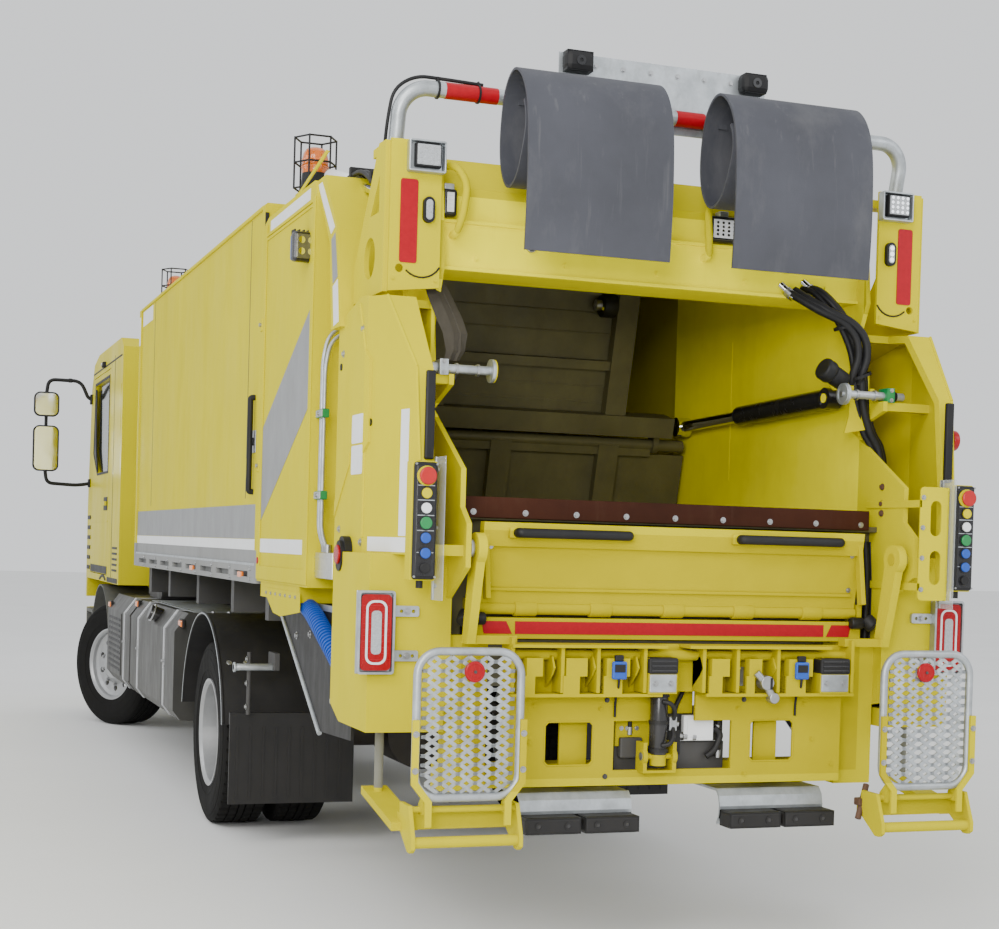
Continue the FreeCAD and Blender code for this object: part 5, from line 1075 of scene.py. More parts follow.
for y, z, x in ((8.16, 1.04, -1.222), (6.86, 1.098, -1.185), (4.86, 1.06, -1.19)):
    p.box(x - 0.016, x + 0.01, Y(y) - 0.05, Y(y) + 0.05, z - 0.020, z + 0.020, "orange", 0.008)
    p.box(x - 0.006, x + 0.014, Y(y) - 0.06, Y(y) + 0.06, z - 0.028, z + 0.028, "black", 0.005)
for y in (2.75, 4.2):
    p.box(-1.254, -1.238, Y(y) - 0.05, Y(y) + 0.05, 1.405, 1.435, "orange", 0.006)
for y in (2.75, 4.2, 6.0):
    p.box(1.238, 1.254, Y(y) - 0.05, Y(y) + 0.05, 1.405, 1.435, "orange", 0.006)
for y in (5.05, 6.35):
    p.box(1.225, 1.249, Y(y) - 0.05, Y(y) + 0.05, 0.98, 1.02, "orange", 0.006)
p.done()

# ------------------------------------------------------------------ mudguard hardware on the left and right
for sx in (-1, 1):
    p = Piece("fender_details_%s" % ("left" if sx < 0 else "right"), "chassis", "black_plastic")
    cy, cz = Y(3.79), 0.527
    # rolled lip along the outer edge
    pts = []
    for k in range(33):
        a = math.radians(8 + k * 164 / 32)
        pts.append(Vector((sx * 1.240, cy + 0.648 * math.cos(a), cz + 0.648 * math.sin(a))))
    p.sweep(pts, 0.009, "black", 8)
    p.sweep([Vector((sx * 1.2465, q[1], q[2])) for q in pts], 0.0035, "galv", 8)
    for k in (6, 16, 26):
        a = math.radians(8 + k * 164 / 32)
        for x in (1.19, 1.10):
            q = Vector((sx * x, cy + 0.650 * math.cos(a), cz + 0.650 * math.sin(a)))
            p.bolt(q, (0, math.cos(a), math.sin(a)), 0.010, 0.006, "steel")
    # ribs on the mud flap
    for i in range(9):
        x = sx * (0.66 + i * 0.068)
        p.box(x - 0.006, x + 0.006, Y(2.926), Y(2.931), 0.26, 0.63, "black", 0.001)
    for i in range(4):
        p.bolt((sx * (0.70 + i * 0.16), Y(2.945), 0.672), (0, -1, 0), 0.010, 0.006, "steel")
    p.done()
p = Piece("fender_stub", "chassis", "galvanised")
p.cyl((-1.250, Y(2.85), 0.945), (-1.030, Y(2.85), 0.945), 0.018, "galv", 20, bev=0.003)
p.cyl((-1.250, Y(2.85), 0.945), (-1.238, Y(2.85), 0.945), 0.026, "galv", 20, bev=0.003)
p.box(-1.050, -1.020, Y(2.80), Y(2.95), 0.930, 1.020, "dark", 0.004)
p.cyl((-1.165, Y(2.87), 0.700), (-1.165, Y(2.87), 1.020), 0.011, "dark", 14)
for z in (0.74, 0.86, 0.985):
    p.bolt((-1.176, Y(2.87), z), (-1, 0, 0), 0.010, 0.006, "steel")
p.done()

# ------------------------------------------------------------------ load body, sides
for sx in (-1, 1):
    side = "left" if sx < 0 else "right"
    p = Piece("body_bands_" + side, "chassis", "yellow_paint")
    x0 = sx * 1.2398
    y0, y1 = Y(2.405), Y(6.572)

    def strip(za, zb, ya, yb, key, t=0.0016):
        p.box(x0, x0 + sx * t, ya, yb, za, zb, key)
    strip(1.600, 1.768, y0, y1, "greyfilm")
    strip(1.545, 1.598, y0, y1, "white", 0.002)
    # lower sill profile with its drip edge
    p.box(sx * 1.236, sx * 1.2495, y0, y1, 1.468, 1.482, "galv", 0.002)
    p.box(sx * 1.236, sx * 1.2495, y0, y1, 1.384, 1.392, "galv", 0.002)
    # roof edge profile
    p.box(sx * 1.228, sx * 1.2495, y0, y1, 3.186, 3.206, "yellow", 0.004)
    # white patch near the roof at the front
    p.box(sx * 1.2398, sx * 1.2416, Y(6.06), Y(6.52), 3.075, 3.178, "white")
    # front strip
    p.box(sx * 1.2500, sx * 1.2512, Y(6.578), Y(6.645), 2.95, 3.15, "white")
    # thin vertical panel joints
    for y in (2.70, 5.95):
        p.box(sx * 1.2396, sx * 1.2412, Y(y) - 0.004, Y(y) + 0.004, 1.80, 3.18, "dark")
    # black grip with a latch plate
    gx = sx * 1.262
    p.tube([(sx * 1.240, Y(2.52), 2.290), (gx, Y(2.52), 2.290), (gx, Y(2.52), 1.830), (sx * 1.240, Y(2.52), 1.830)], 0.014, "black", 0.03, 12)
    p.box(sx * 1.2398, sx * 1.2440, Y(2.47), Y(2.57), 2.02, 2.13, "steel", 0.002)
    p.cyl((sx * 1.243, Y(2.52), 2.075), (sx * 1.252, Y(2.52), 2.075), 0.020, "black", 18, bev=0.002)
    # plain small plate
    p.box(sx * 1.2398, sx * 1.2415, Y(2.60), Y(2.70), 1.90, 2.0, "yellow", 0.0005)
    for i in range(8):
        for dz in (1.402, 1.452):
            p.bolt((sx * 1.2500, Y(2.49 + i * 0.52), dz), (sx, 0, 0), 0.009, 0.005, "steel")
    p.done()

# ------------------------------------------------------------------ cab
MY = "mirrors_look"
p = Piece(MY, "cab", "black_plastic")
for sx in (-1, 1):
    def X(v):
        return sx * v

    def head(xa, xb, za, zb, yb, r):
        x0, x1 = sorted((X(xa), X(xb)))
        p.plate("xz", rrect(x0, x1, za, zb, r, 6), [], Y(yb), Y(yb) + 0.045, "black")
        p.plate("xz", rrect(x0 + 0.012, x1 - 0.012, za + 0.012, zb - 0.012, r * 0.85, 6), [], Y(yb) + 0.045, Y(yb) + 0.075, "black")
        p.plate("xz", rrect(x0 + 0.013, x1 - 0.013, za + 0.013, zb - 0.013, r * 0.8, 6), [], Y(yb) - 0.003, Y(yb) + 0.001, "mirror")
    head(1.490, 1.710, 2.640, 2.860, 10.030, 0.055)
    head(1.487, 1.713, 2.150, 2.560, 10.030, 0.055)
    p.tube([(X(1.195), Y(10.085), 2.815), (X(1.235), Y(10.080), 2.830), (X(1.30), Y(10.075), 2.975), (X(1.585), Y(10.072), 2.975), (X(1.600), Y(10.07), 2.850)], 0.016, "black", 0.07, 14)
    p.tube([(X(1.195), Y(10.115), 2.057), (X(1.25), Y(10.11), 2.045), (X(1.33), Y(10.10), 2.035), (X(1.585), Y(10.072), 2.045), (X(1.600), Y(10.07), 2.16)], 0.016, "black", 0.07, 14)
    p.cyl((X(1.600), Y(10.07), 2.55), (X(1.600), Y(10.07), 2.65), 0.015, "black", 14)
    p.box(X(1.195), X(1.215), Y(10.05), Y(10.115), 2.77, 2.86, "black", 0.006)
    p.box(X(1.195), X(1.215), Y(10.08), Y(10.145), 2.02, 2.095, "black", 0.006)
    p.cyl((X(1.38), Y(10.073), 2.975), (X(1.41), Y(10.073), 2.975), 0.020, "black", 14)
o = p.done()
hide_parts("mirrors")

for sx in (-1, 1):
    side = "left" if sx < 0 else "right"
    p = Piece("cab_trim_" + side, "cab", "cab_paint")
    xw = sx * 1.1952
    # black roof gutter
    p.box(sx * 1.192, sx * 1.1985, Y(8.02), Y(9.98), 3.020, 3.034, "black", 0.003)
    # rear corner panel joint, arch trim
    p.box(xw, xw + sx * 0.0016, Y(8.44), Y(8.452), 1.22, 3.06, "dark")
    p.box(xw, xw + sx * 0.0030, Y(8.03), Y(8.36), 2.30, 2.80, "cab", 0.001)
    pts = []
    for k in range(25):
        a = math.radians(25 + k * 130 / 24)
        pts.append(Vector((sx * 1.193, Y(8.99) + 0.70 * math.cos(a), 0.507 + 0.74 * math.sin(a))))
    pts = [q for q in pts if q.z > 1.205]
    if len(pts) > 2:
        p.sweep(pts, 0.012, "black", 8)
    # lower panel between door and arch
    p.box(sx * 1.193, sx * 1.1975, Y(8.03), Y(8.70), 1.205, 1.245, "black", 0.003)
    for i in range(5):
        z = 1.30 + i * 0.045
        p.box(xw, xw + sx * 0.003, Y(8.08), Y(8.38), z, z + 0.018, "black", 0.001)
    # camera at the roof's edge
    p.box(sx * 1.185, sx * 1.225, Y(9.10), Y(9.18), 3.02, 3.07, "black", 0.010)
    p.cyl((sx * 1.222, Y(9.14), 3.045), (sx * 1.232, Y(9.14), 3.045), 0.014, "mirror", 14)
    # front corner deflector vents
    for i in range(6):
        z = 1.28 + i * 0.09
        p.box(xw - sx * 0.001, xw + sx * 0.006, Y(9.99), Y(10.20), z, z + 0.035, "black", 0.003)
    p.done()
    p = Piece("door_trim_" + side, side + "_door", "cab_paint")
    win = [(Y(8.80), 2.130), (Y(9.55), 2.130), (Y(9.86), 2.320), (Y(9.80), 2.910), (Y(8.80), 2.910)]
    cy = sum(a for a, b in win) / 5; cz = sum(b for a, b in win) / 5
    big = [(cy + (a - cy) * 1.045, cz + (b - cz) * 1.055) for a, b in win]
    p.plate("yz", big, [win], *sorted((sx * 1.1945, sx * 1.1985)), "black")
    p.plate("yz", [(Y(9.56), 2.140), (Y(9.85), 2.325), (Y(9.80), 2.880), (Y(9.76), 2.880), (Y(9.70), 2.34)], [], *sorted((sx * 1.188, sx * 1.196)), "black")
    p.box(sx * 1.1945, sx * 1.2005, Y(8.78), Y(9.01), 1.800, 1.912, "black", 0.003)
    p.box(sx * 1.200, sx * 1.2175, Y(8.805), Y(8.985), 1.842, 1.873, "cab", 0.008)
    # lower crease, sill and side protection
    p.box(sx * 1.1945, sx * 1.1975, Y(8.74), Y(9.92), 1.700, 1.712, "cab", 0.001)
    p.box(sx * 1.1945, sx * 1.1985, Y(8.74), Y(9.92), 1.266, 1.330, "black", 0.002)
    p.done()

# front face of the cab
p = Piece("cab_front_trim", "cab", "black_plastic")
for i in range(5):
    z = 1.20 + i * 0.115
    p.box(-0.78, 0.78, Y(10.252), Y(10.268), z, z + 0.060, "black", 0.006)
p.box(-0.82, 0.82, Y(10.248), Y(10.258), 1.14, 1.80, "dark", 0.004)
for x in (-0.55, 0.05):
    p.tube([(x, Y(10.262), 1.93), (x + 0.30, Y(10.258), 2.05), (x + 0.48, Y(10.250), 2.32)], 0.008, "black", 0.05, 8)
    p.cyl((x, Y(10.250), 1.93), (x, Y(10.272), 1.93), 0.018, "black", 14)
for sx in (-1, 1):
    p.plate("xz", rrect(*sorted((sx * 0.84, sx * 1.14)), 1.10, 1.40, 0.05), [], Y(10.249), Y(10.262), "blackgloss")
    p.cyl((sx * 0.92, Y(10.258), 1.25), (sx * 0.92, Y(10.268), 1.25), 0.075, "whitelens", 26, bev=0.004)
    p.cyl((sx * 1.07, Y(10.258), 1.25), (sx * 1.07, Y(10.268), 1.25), 0.050, "whitelens", 24, bev=0.004)
p.done()
p = Piece("bumper_details", "chassis", "cab_paint")
for i in range(3):
    z = 0.560 + i * 0.090
    p.box(-0.52, 0.52, Y(10.200), Y(10.285), z + 0.002, z + 0.038, "black", 0.003)
for sx in (-1, 1):
    p.cyl((sx * 0.78, Y(10.282), 0.60), (sx * 0.78, Y(10.2895), 0.60), 0.060, "whitelens", 24, bev=0.003)
    p.ring((sx * 0.78, Y(10.282), 0.60), (0, 1, 0), 0.060, 0.072, 0.007, "black", 26)
p.box(-0.26, 0.26, Y(10.2850), Y(10.2898), 0.435, 0.545, "white", 0.001)
p.done()

# ------------------------------------------------------------------ tailgate sides


def yzfilm(p, poly, x, s, key, t=0.0016):
    a, b = sorted((x, x + s * t))
    p.plate("yz", [(Y(u), v) for u, v in poly], [], a, b, key)


def cover_x(y):
    """Distance from the middle to the cover's outer face; its rear part slants inwards."""
    return 1.215 if y >= 0.545 else 1.130 + (y - 0.12) * 0.2


def slant(p, poly, s, key, t=0.0016, off=0.0):
    """Film or sheet lying on the slanted rear part of the cover."""
    n = len(poly)
    vs = [(s * (cover_x(y) + off), Y(y), z) for y, z in poly] + [(s * (cover_x(y) + off + t), Y(y), z) for y, z in poly]
    fs = [list(range(n)), list(range(n, 2 * n))[::-1]] + [[i, (i + 1) % n, (i + 1) % n + n, i + n] for i in range(n)]
    p.add(vs, fs, key)


for sx in (-1, 1):
    side = "left" if sx < 0 else "right"
    xo = sx * 1.250                  # outer face of the pillar
    xc = sx * 1.215                  # outer face of the rear cover
    p = Piece("gate_films_" + side, T, "yellow_paint")
    yzfilm(p, [(2.318, 1.66), (2.318, 2.10), (1.345, 2.585), (1.345, 2.165)], xo, sx, "greyfilm")
    yzfilm(p, [(2.318, 1.538), (2.318, 1.602), (1.395, 1.602), (1.395, 1.538)], xo, sx, "white")
    # films on the sloping member behind the pillar
    yzfilm(p, [(1.325, 3.100), (1.255, 3.100), (1.02, 2.875), (1.08, 2.855)], sx * 1.235, sx, "white")
    yzfilm(p, [(1.072, 2.832), (1.010, 2.850), (0.955, 2.665), (1.030, 2.645)], sx * 1.235, sx, "greyfilm")
    yzfilm(p, [(1.028, 2.635), (0.952, 2.655), (0.920, 2.480), (1.000, 2.470)], sx * 1.235, sx, "white")
    # white strip along the top of the pillar
    yzfilm(p, [(2.20, 3.045), (2.20, 3.095), (1.40, 3.100), (1.40, 3.050)], xo, sx, "white")
    # L-shaped strip and blank plates on the rear cover
    slant(p, [(0.195, 1.627), (0.255, 1.627), (0.255, 2.09), (0.195, 2.09)], sx, "white")
    slant(p, [(0.195, 1.622), (0.195, 1.568), (0.500, 1.568), (0.500, 1.622)], sx, "white")
    for z0 in (1.862, 1.982):
        p.plate("yz", [(Y(a), b) for a, b in rrect(0.575, 0.735, z0, z0 + 0.112, 0.010)], [], *sorted((xc, xc + sx * 0.0022)), "white")
    p.done()

    p = Piece("gate_edges_" + side, T, "yellow_paint")
    # raised border round the pillar's recessed panel
    for a, b, c, d in ((2.262, 2.326, 1.41, 3.09), (1.292, 1.338, 1.41, 3.05), (1.338, 2.262, 1.41, 1.475), (1.338, 2.262, 3.03, 3.044)):
        p.box(xo, xo + sx * 0.006, Y(a), Y(b), c, d, "yellow", 0.002)
    p.plate("yz", [(Y(2.262), 3.012), (Y(2.262), 3.024), (Y(1.338), 3.024), (Y(1.338), 3.012)], [], *sorted((xo, xo + sx * 0.004)), "yellow")
    # hem of the rear cover and its crease
    p.sweep([Vector((xc, Y(0.545), 1.62)), Vector((xc, Y(0.545), 2.30)), Vector((xc, Y(0.66), 2.52))], 0.006, "yellow", 8)
    slant(p, [(0.500, 1.98), (0.543, 1.94), (0.543, 2.33), (0.500, 2.29)], sx, "yellow", 0.010)
    for y, z in ((0.525, 2.12), (0.61, 2.42), (0.57, 1.60), (0.18, 1.585), (0.90, 2.35), (0.90, 1.65)):
        p.bolt((sx * cover_x(y), Y(y), z), (sx, 0, 0), 0.010, 0.006, "steel")
    # dark oval hole plugs
    for y, z in ((0.500, 2.055), (0.93, 2.30)):
        p.cyl((sx * (cover_x(y) - 0.001), Y(y), z), (sx * (cover_x(y) + 0.004), Y(y), z), 0.014, "black", 16)
    # stiffening gusset between the recess and the cover
    p.plate("yz", [(Y(0.975), 1.70), (Y(0.760), 1.90), (Y(0.760), 1.95), (Y(0.975), 1.76)], [], *sorted((xc, xc + sx * 0.005)), "yellow")
    # folded lip round the upper edge of the cover
    for (a, b), (c, d) in (((0.66, 2.545), (0.545, 2.536)), ((0.40, 2.525), (0.16, 2.240)), ((0.16, 2.240), (0.12, 1.900))):
        p.sweep([Vector((sx * (cover_x(a) - 0.006), Y(a), b)), Vector((sx * (cover_x(c) - 0.006), Y(c), d))], 0.006, "yellow", 8)
    # sloping skirt of the drip tray with its rivets
    p.plate("yz", [(Y(2.190), 1.375), (Y(1.420), 1.375), (Y(1.420), 1.290), (Y(1.800), 1.255), (Y(1.95), 1.265)], [], *sorted((sx * 1.2455, sx * 1.2485)), "yellow")
    for i in range(7):
        p.bolt((sx * 1.2485, Y(2.10 - i * 0.10), 1.352), (sx, 0, 0), 0.006, 0.004, "steel")
    # fin and plates on top
    vs = [(sx * a, Y(b), c) for a, b, c in ((1.215, 2.02, 3.119), (1.215, 1.93, 3.119), (1.105, 1.700, 3.335), (1.105, 1.745, 3.350),
                                               (1.209, 2.02, 3.119), (1.209, 1.93, 3.119), (1.099, 1.700, 3.335), (1.099, 1.745, 3.350))]
    p.add(vs, [[0, 1, 2, 3], [7, 6, 5, 4], [0, 4, 5, 1], [1, 5, 6, 2], [2, 6, 7, 3], [3, 7, 4, 0]], "yellow")
    p.plate("yz", [(Y(1.30), 3.122), (Y(1.80), 3.122), (Y(1.62), 3.20), (Y(1.34), 3.165)], [], *sorted((sx * 0.955, sx * 0.963)), "yellow")
    # latch blocks on the seam
    for z in (1.95, 2.62):
        p.box(sx * 1.2395, sx * 1.262, Y(2.300), Y(2.345), z - 0.03, z + 0.03, "yellow", 0.005)
        p.cyl((sx * 1.262, Y(2.315), z), (sx * 1.272, Y(2.315), z), 0.010, "steel", 6)
    p.done()

    p = Piece("gate_seal_" + side, T, "rubber")
    p.box(sx * 1.232, sx * 1.2512, Y(2.3285), Y(2.3345), 1.42, 3.16, "black", 0.002)
    p.box(sx * 1.2380, sx * 1.2420, Y(2.3450), Y(2.3990), 1.62, 3.16, "black", 0.001)
    p.done()

    # profile beam with grooves, under the recess
    p = Piece("gate_profile_" + side, T, "galvanised")
    p.box(sx * 0.960, sx * 1.2185, Y(0.990), Y(1.2885), 1.4435, 1.5515, "alu", 0.004)
    for z in (1.468, 1.527):
        p.box(sx * 1.2183, sx * 1.2205, Y(0.992), Y(1.288), z, z + 0.008, "alu", 0.001)
    p.box(sx * 1.150, sx * 1.156, Y(0.90), Y(2.285), 1.300, 1.328, "galv", 0.002)
    d0, d1 = Vector((sx * 1.153, Y(2.292), 1.312)), Vector((sx * 1.153, Y(1.392), 0.772))
    p.sweep([d0, d1], 0.011, "galv", 10)
    for y, z in ((1.88, 1.165), (1.62, 1.185), (1.20, 0.93), (1.05, 1.16)):
        p.bolt((sx * 1.150, Y(y), z), (sx, 0, 0), 0.012, 0.007, "steel")
    p.done()

    # two upright pipes with clamps in the recess
    p = Piece("gate_pipes_" + side, T, "galvanised")
    for x, y, z1 in ((1.222, 1.220, 2.36), (1.222, 1.176, 2.33)):
        p.tube([(sx * (x - 0.030), Y(y), 1.556), (sx * x, Y(y), 1.640), (sx * x, Y(y), z1), (sx * (x - 0.035), Y(y + 0.035), z1 + 0.12), (sx * (x - 0.19), Y(y + 0.04), z1 + 0.18)], 0.0085, "galv", 0.06, 12)
        p.cyl((sx * (x - 0.030), Y(y), 1.553), (sx * (x - 0.030), Y(y), 1.585), 0.018, "steel", 6)
    for z in (1.79, 2.13):
        p.box(sx * 1.206, sx * 1.238, Y(1.147), Y(1.250), z - 0.018, z + 0.018, "green", 0.004)
        p.box(sx * 1.236, sx * 1.240, Y(1.147), Y(1.250), z - 0.014, z + 0.014, "galv", 0.001)
        p.bolt((sx * 1.240, Y(1.197), z), (sx, 0, 0), 0.007, 0.006, "steel")
        p.cyl((sx * 1.222, Y(1.248), z), (sx * 1.222, Y(1.288), z), 0.009, "galv", 10)
    p.done()

    # marker lamp in a dark oval housing
    p = Piece("gate_marker_" + side, T, "lamp")
    p.plate("yz", [(Y(a), b) for a, b in slot_hole(0.745, 1.545, 0.120, 0.155, 10)], [], *sorted((xc, xc + sx * 0.030)), "black")
    p.plate("yz", [(Y(a), b) for a, b in slot_hole(0.745, 1.545, 0.088, 0.120, 10)], [], *sorted((xc + sx * 0.028, xc + sx * 0.042)), "black")
    p.cyl((xc + sx * 0.040, Y(0.745), 1.550), (xc + sx * 0.052, Y(0.745), 1.550), 0.038, "redlamp", 26, bev=0.004)
    p.cyl((sx * 1.2485, Y(2.288), 1.498), (sx * 1.262, Y(2.288), 1.498), 0.016, "redlamp", 18, bev=0.003)
    # round lamp on the cover
    if sx > 0:
        p.cyl((1.138, Y(0.180), 2.080), (1.166, Y(0.180), 2.080), 0.042, "redlamp", 26, bev=0.004)
    # brown bolt heads on the inner wall
    for z in (1.779, 1.818, 1.887):
        p.cyl((sx * 0.928, Y(0.330), z), (sx * 0.919, Y(0.330), z), 0.010, "brown", 6)
        p.ring((sx * 0.931, Y(0.330), z), (-sx, 0, 0), 0.009, 0.014, 0.005, "brown", 18)
    p.done()

    # hoses under the recess, clipped to the lower post and the tray
    p = Piece("gate_hoses_" + side, T, "rubber")
    for k, (dx, dy) in enumerate(((0.0, 0.0), (0.03, 0.03), (-0.028, 0.02))):
        p.tube([(sx * (1.10 + dx), Y(1.16 + dy), 1.444), (sx * (1.10 + dx), Y(1.13 + dy), 1.36), (sx * (1.12 + dx), Y(1.00 + dy), 1.27), (sx * (1.12 + dx), Y(0.905 + dy * 0.5), 1.225), (sx * (1.12 + dx), Y(0.838), 1.215 + dx)], 0.015, "black", 0.09, 12)
    p.box(sx * 1.06, sx * 1.175, Y(1.005), Y(1.065), 1.268, 1.300, "black", 0.006)
    p.done()
    p = Piece("gate_work_lamp_" + side, T, "lamp")
    # work lamp on an arm at the pillar's rear edge, turned towards the rear
    c = Vector((sx * 1.268, Y(1.400), 2.852))
    rot = Matrix.Rotation(math.radians(-4 * sx), 3, "Z")
    q = Piece("tmp", T, "lamp")
    q.mats = p.mats
    q.box(c.x - 0.055, c.x + 0.055, c.y - 0.012, c.y + 0.040, c.z - 0.066, c.z + 0.062, "blackgloss", 0.014, rot, c)
    q.box(c.x - 0.050, c.x + 0.050, c.y + 0.034, c.y + 0.064, c.z - 0.058, c.z + 0.054, "blue" if sx < 0 else "black", 0.010, rot, c)
    q.box(c.x - 0.044, c.x + 0.044, c.y - 0.018, c.y - 0.008, c.z - 0.054, c.z + 0.050, "darklens", 0.008, rot, c)
    for i in range(5):
        xx = c.x - 0.04 + i * 0.02
        q.box(xx - 0.003, xx + 0.003, c.y + 0.020, c.y + 0.070, c.z + 0.053, c.z + 0.074, "black", 0.001, rot, c)
    for i in (-1, 1):
        for j in (-1, 1):
            w = c + rot @ Vector((i * 0.021, -0.019, j * 0.024))
            q.cyl(w, w + rot @ Vector((0, 0.006, 0)), 0.015, "mirror", 14)
    p.v, p.f, p.mi, p.sm, p.mats = q.v, q.f, q.mi, q.sm, q.mats
    p.tube([(sx * 1.200, Y(1.330), 2.845), (sx * 1.190, Y(1.300), 2.845), (sx * 1.215, Y(1.375), 2.850), (sx * 1.225, Y(1.405), 2.850)], 0.009, "steel", 0.02, 10)
    p.cyl((sx * 1.222, Y(1.405), 2.836), (sx * 1.222, Y(1.405), 2.866), 0.012, "steel", 6)
    p.done()

# blue corrugated drain hose from the tray to the lower post
p = Piece("drain_hose", T, "rubber")
pts = [Vector((-1.195, Y(1.50), 1.318)), Vector((-1.195, Y(1.36), 1.280)), Vector((-1.19, Y(1.18), 1.205)), Vector((-1.18, Y(1.00), 1.120)), Vector((-1.175, Y(0.900), 1.068)), Vector((-1.17, Y(0.842), 1.040))]


def smooth_path(pts, n=8):
    out = []
    for i in range(len(pts) - 1):
        a = pts[max(i - 1, 0)]; b = pts[i]; c = pts[i + 1]; d = pts[min(i + 2, len(pts) - 1)]
        for k in range(n):
            t = k / n
            out.append(0.5 * ((2 * b) + (c - a) * t + (2 * a - 5 * b + 4 * c - d) * t * t + (3 * b - a - 3 * c + d) * t ** 3))
    out.append(pts[-1])
    return out


sp_ = smooth_path(pts, 9)
p.sweep(sp_, 0.034, "blue", 20)
tot = 0.0
for i in range(len(sp_) - 1):
    a, b = sp_[i], sp_[i + 1]
    d = (b - a).normalized()
    p.ring(a, d, 0.033, 0.0405, 0.007, "blue", 24)
p.ring(sp_[1], (sp_[2] - sp_[1]).normalized(), 0.036, 0.043, 0.014, "galv", 26)
p.ring(sp_[-4], (sp_[-3] - sp_[-4]).normalized(), 0.036, 0.043, 0.014, "galv", 26)
p.done()

# white cylinder and hose bundle between the fin and the lamp plate, left
p = Piece("cover_cylinder", T, "chrome")
p.cyl((-1.075, Y(1.755), 3.235), (-1.075, Y(1.30), 3.115), 0.034, "white", 24, bev=0.004)
p.cyl((-1.075, Y(1.30), 3.115), (-1.075, Y(0.98), 3.020), 0.017, "chrome", 20)
p.cyl((-1.100, Y(1.765), 3.238), (-1.050, Y(1.765), 3.238), 0.024, "blackgloss", 20, bev=0.003)
p.box(-1.105, -1.045, Y(1.735), Y(1.80), 3.119, 3.215, "yellow", 0.006)
p.cyl((-1.075, Y(1.285), 3.111), (-1.075, Y(1.33), 3.123), 0.038, "steel", 22)
p.done()
p = Piece("upper_hoses", T, "rubber")
for k in range(5):
    o_ = k * 0.026
    p.tube([(-0.985 - o_, Y(1.60), 3.128), (-0.985 - o_, Y(1.40), 3.160 + 0.012 * (k % 2)), (-1.00 - o_, Y(1.12), 3.135), (-1.02 - o_ * 0.8, Y(0.95), 3.060), (-1.02 - o_ * 0.8, Y(0.80), 2.975), (-1.00 - o_ * 0.5, Y(0.70), 2.93)], 0.010, "black", 0.08, 10)
for y, z in ((1.30, 3.165), (0.98, 3.085)):
    p.box(-1.110, -0.970, Y(y) - 0.012, Y(y) + 0.012, z - 0.028, z + 0.020, "black", 0.005)
p.done()

# ------------------------------------------------------------------ right side: hoses, buffer, slotted guard plate
p = Piece("right_hoses", T, "rubber")
ha = [(0.585, 0.575, 2.700), (0.620, 0.53, 2.665), (0.690, 0.475, 2.612), (0.790, 0.45, 2.565), (0.847, 0.44, 2.505), (0.862, 0.44, 2.430), (0.850, 0.45, 2.365), (0.845, 0.47, 2.315)]
for dx, dy, r in ((0.0, 0.0, 0.017), (0.035, -0.012, 0.017)):
    p.sweep(smooth_path([Vector((a + dx, Y(b + dy), c)) for a, b, c in ha], 6), r, "black", 12)
hb = [(0.690, 0.575, 2.712), (0.725, 0.52, 2.690), (0.800, 0.47, 2.585), (0.862, 0.455, 2.460), (0.887, 0.452, 2.340), (0.898, 0.452, 2.240), (0.938, 0.460, 2.125), (0.985, 0.462, 2.050), (1.002, 0.460, 1.93), (1.002, 0.460, 1.68)]
for dx, dy, r in ((0.0, 0.0, 0.018), (0.024, 0.012, 0.013), (-0.024, 0.014, 0.013)):
    p.sweep(smooth_path([Vector((a + dx, Y(b + dy), c)) for a, b, c in hb], 6), r, "black", 12)
for x, y, z in ((0.815, 0.480, 2.560), (0.884, 0.458, 2.355)):
    p.ring((x, Y(y), z), (0.4, 0, -1), 0.044, 0.048, 0.012, "black", 22)
for x, z in ((0.600, 2.685), (0.705, 2.705)):
    p.cyl((x - 0.03, Y(0.590), z + 0.035), (x + 0.012, Y(0.545), z - 0.020), 0.019, "chrome", 12)
    p.cyl((x - 0.01, Y(0.570), z + 0.010), (x + 0.004, Y(0.553), z - 0.010), 0.024, "steel", 6)
p.done()
p = Piece("right_buffer", T, "rubber")
p.cyl((0.805, Y(0.455), 2.320), (0.735, Y(0.440), 2.352), 0.040, "black", 26, bev=0.008)
p.cyl((0.738, Y(0.440), 2.350), (0.690, Y(0.433), 2.372), 0.047, "black", 26, bev=0.010)
p.plate("xz", [(0.745, 2.300), (0.765, 2.285), (0.930, 2.300), (0.930, 2.360), (0.880, 2.372), (0.845, 2.348), (0.800, 2.372)], [], Y(0.458), Y(0.470), "yellow")
p.plate("xz", [(0.820, 2.110), (0.930, 2.130), (0.930, 2.300), (0.800, 2.290), (0.838, 2.235), (0.838, 2.180)], [], Y(0.458), Y(0.470), "yellow")
p.done()
p = Piece("right_guard_plate", T, "yellow_paint")
p.plate("xz", rrect(0.925, 1.052, 1.432, 1.882, 0.016, 4), [slot_hole(0.998, 1.758, 0.050, 0.140, 8), slot_hole(1.000, 1.562, 0.050, 0.135, 8)], Y(0.044), Y(0.050), "yellow")
p.box(1.050, 1.056, Y(0.044), Y(0.118), 1.432, 1.882, "yellow", 0.001)
p.box(0.925, 0.932, Y(0.044), Y(0.440), 1.47, 1.50, "yellow", 0.001)
p.box(0.925, 0.932, Y(0.044), Y(0.440), 1.80, 1.83, "yellow", 0.001)
for z in (1.475, 1.60, 1.72, 1.84):
    p.bolt((0.938, Y(0.044), z), (0, -1, 0), 0.007, 0.005, "steel")
p.done()

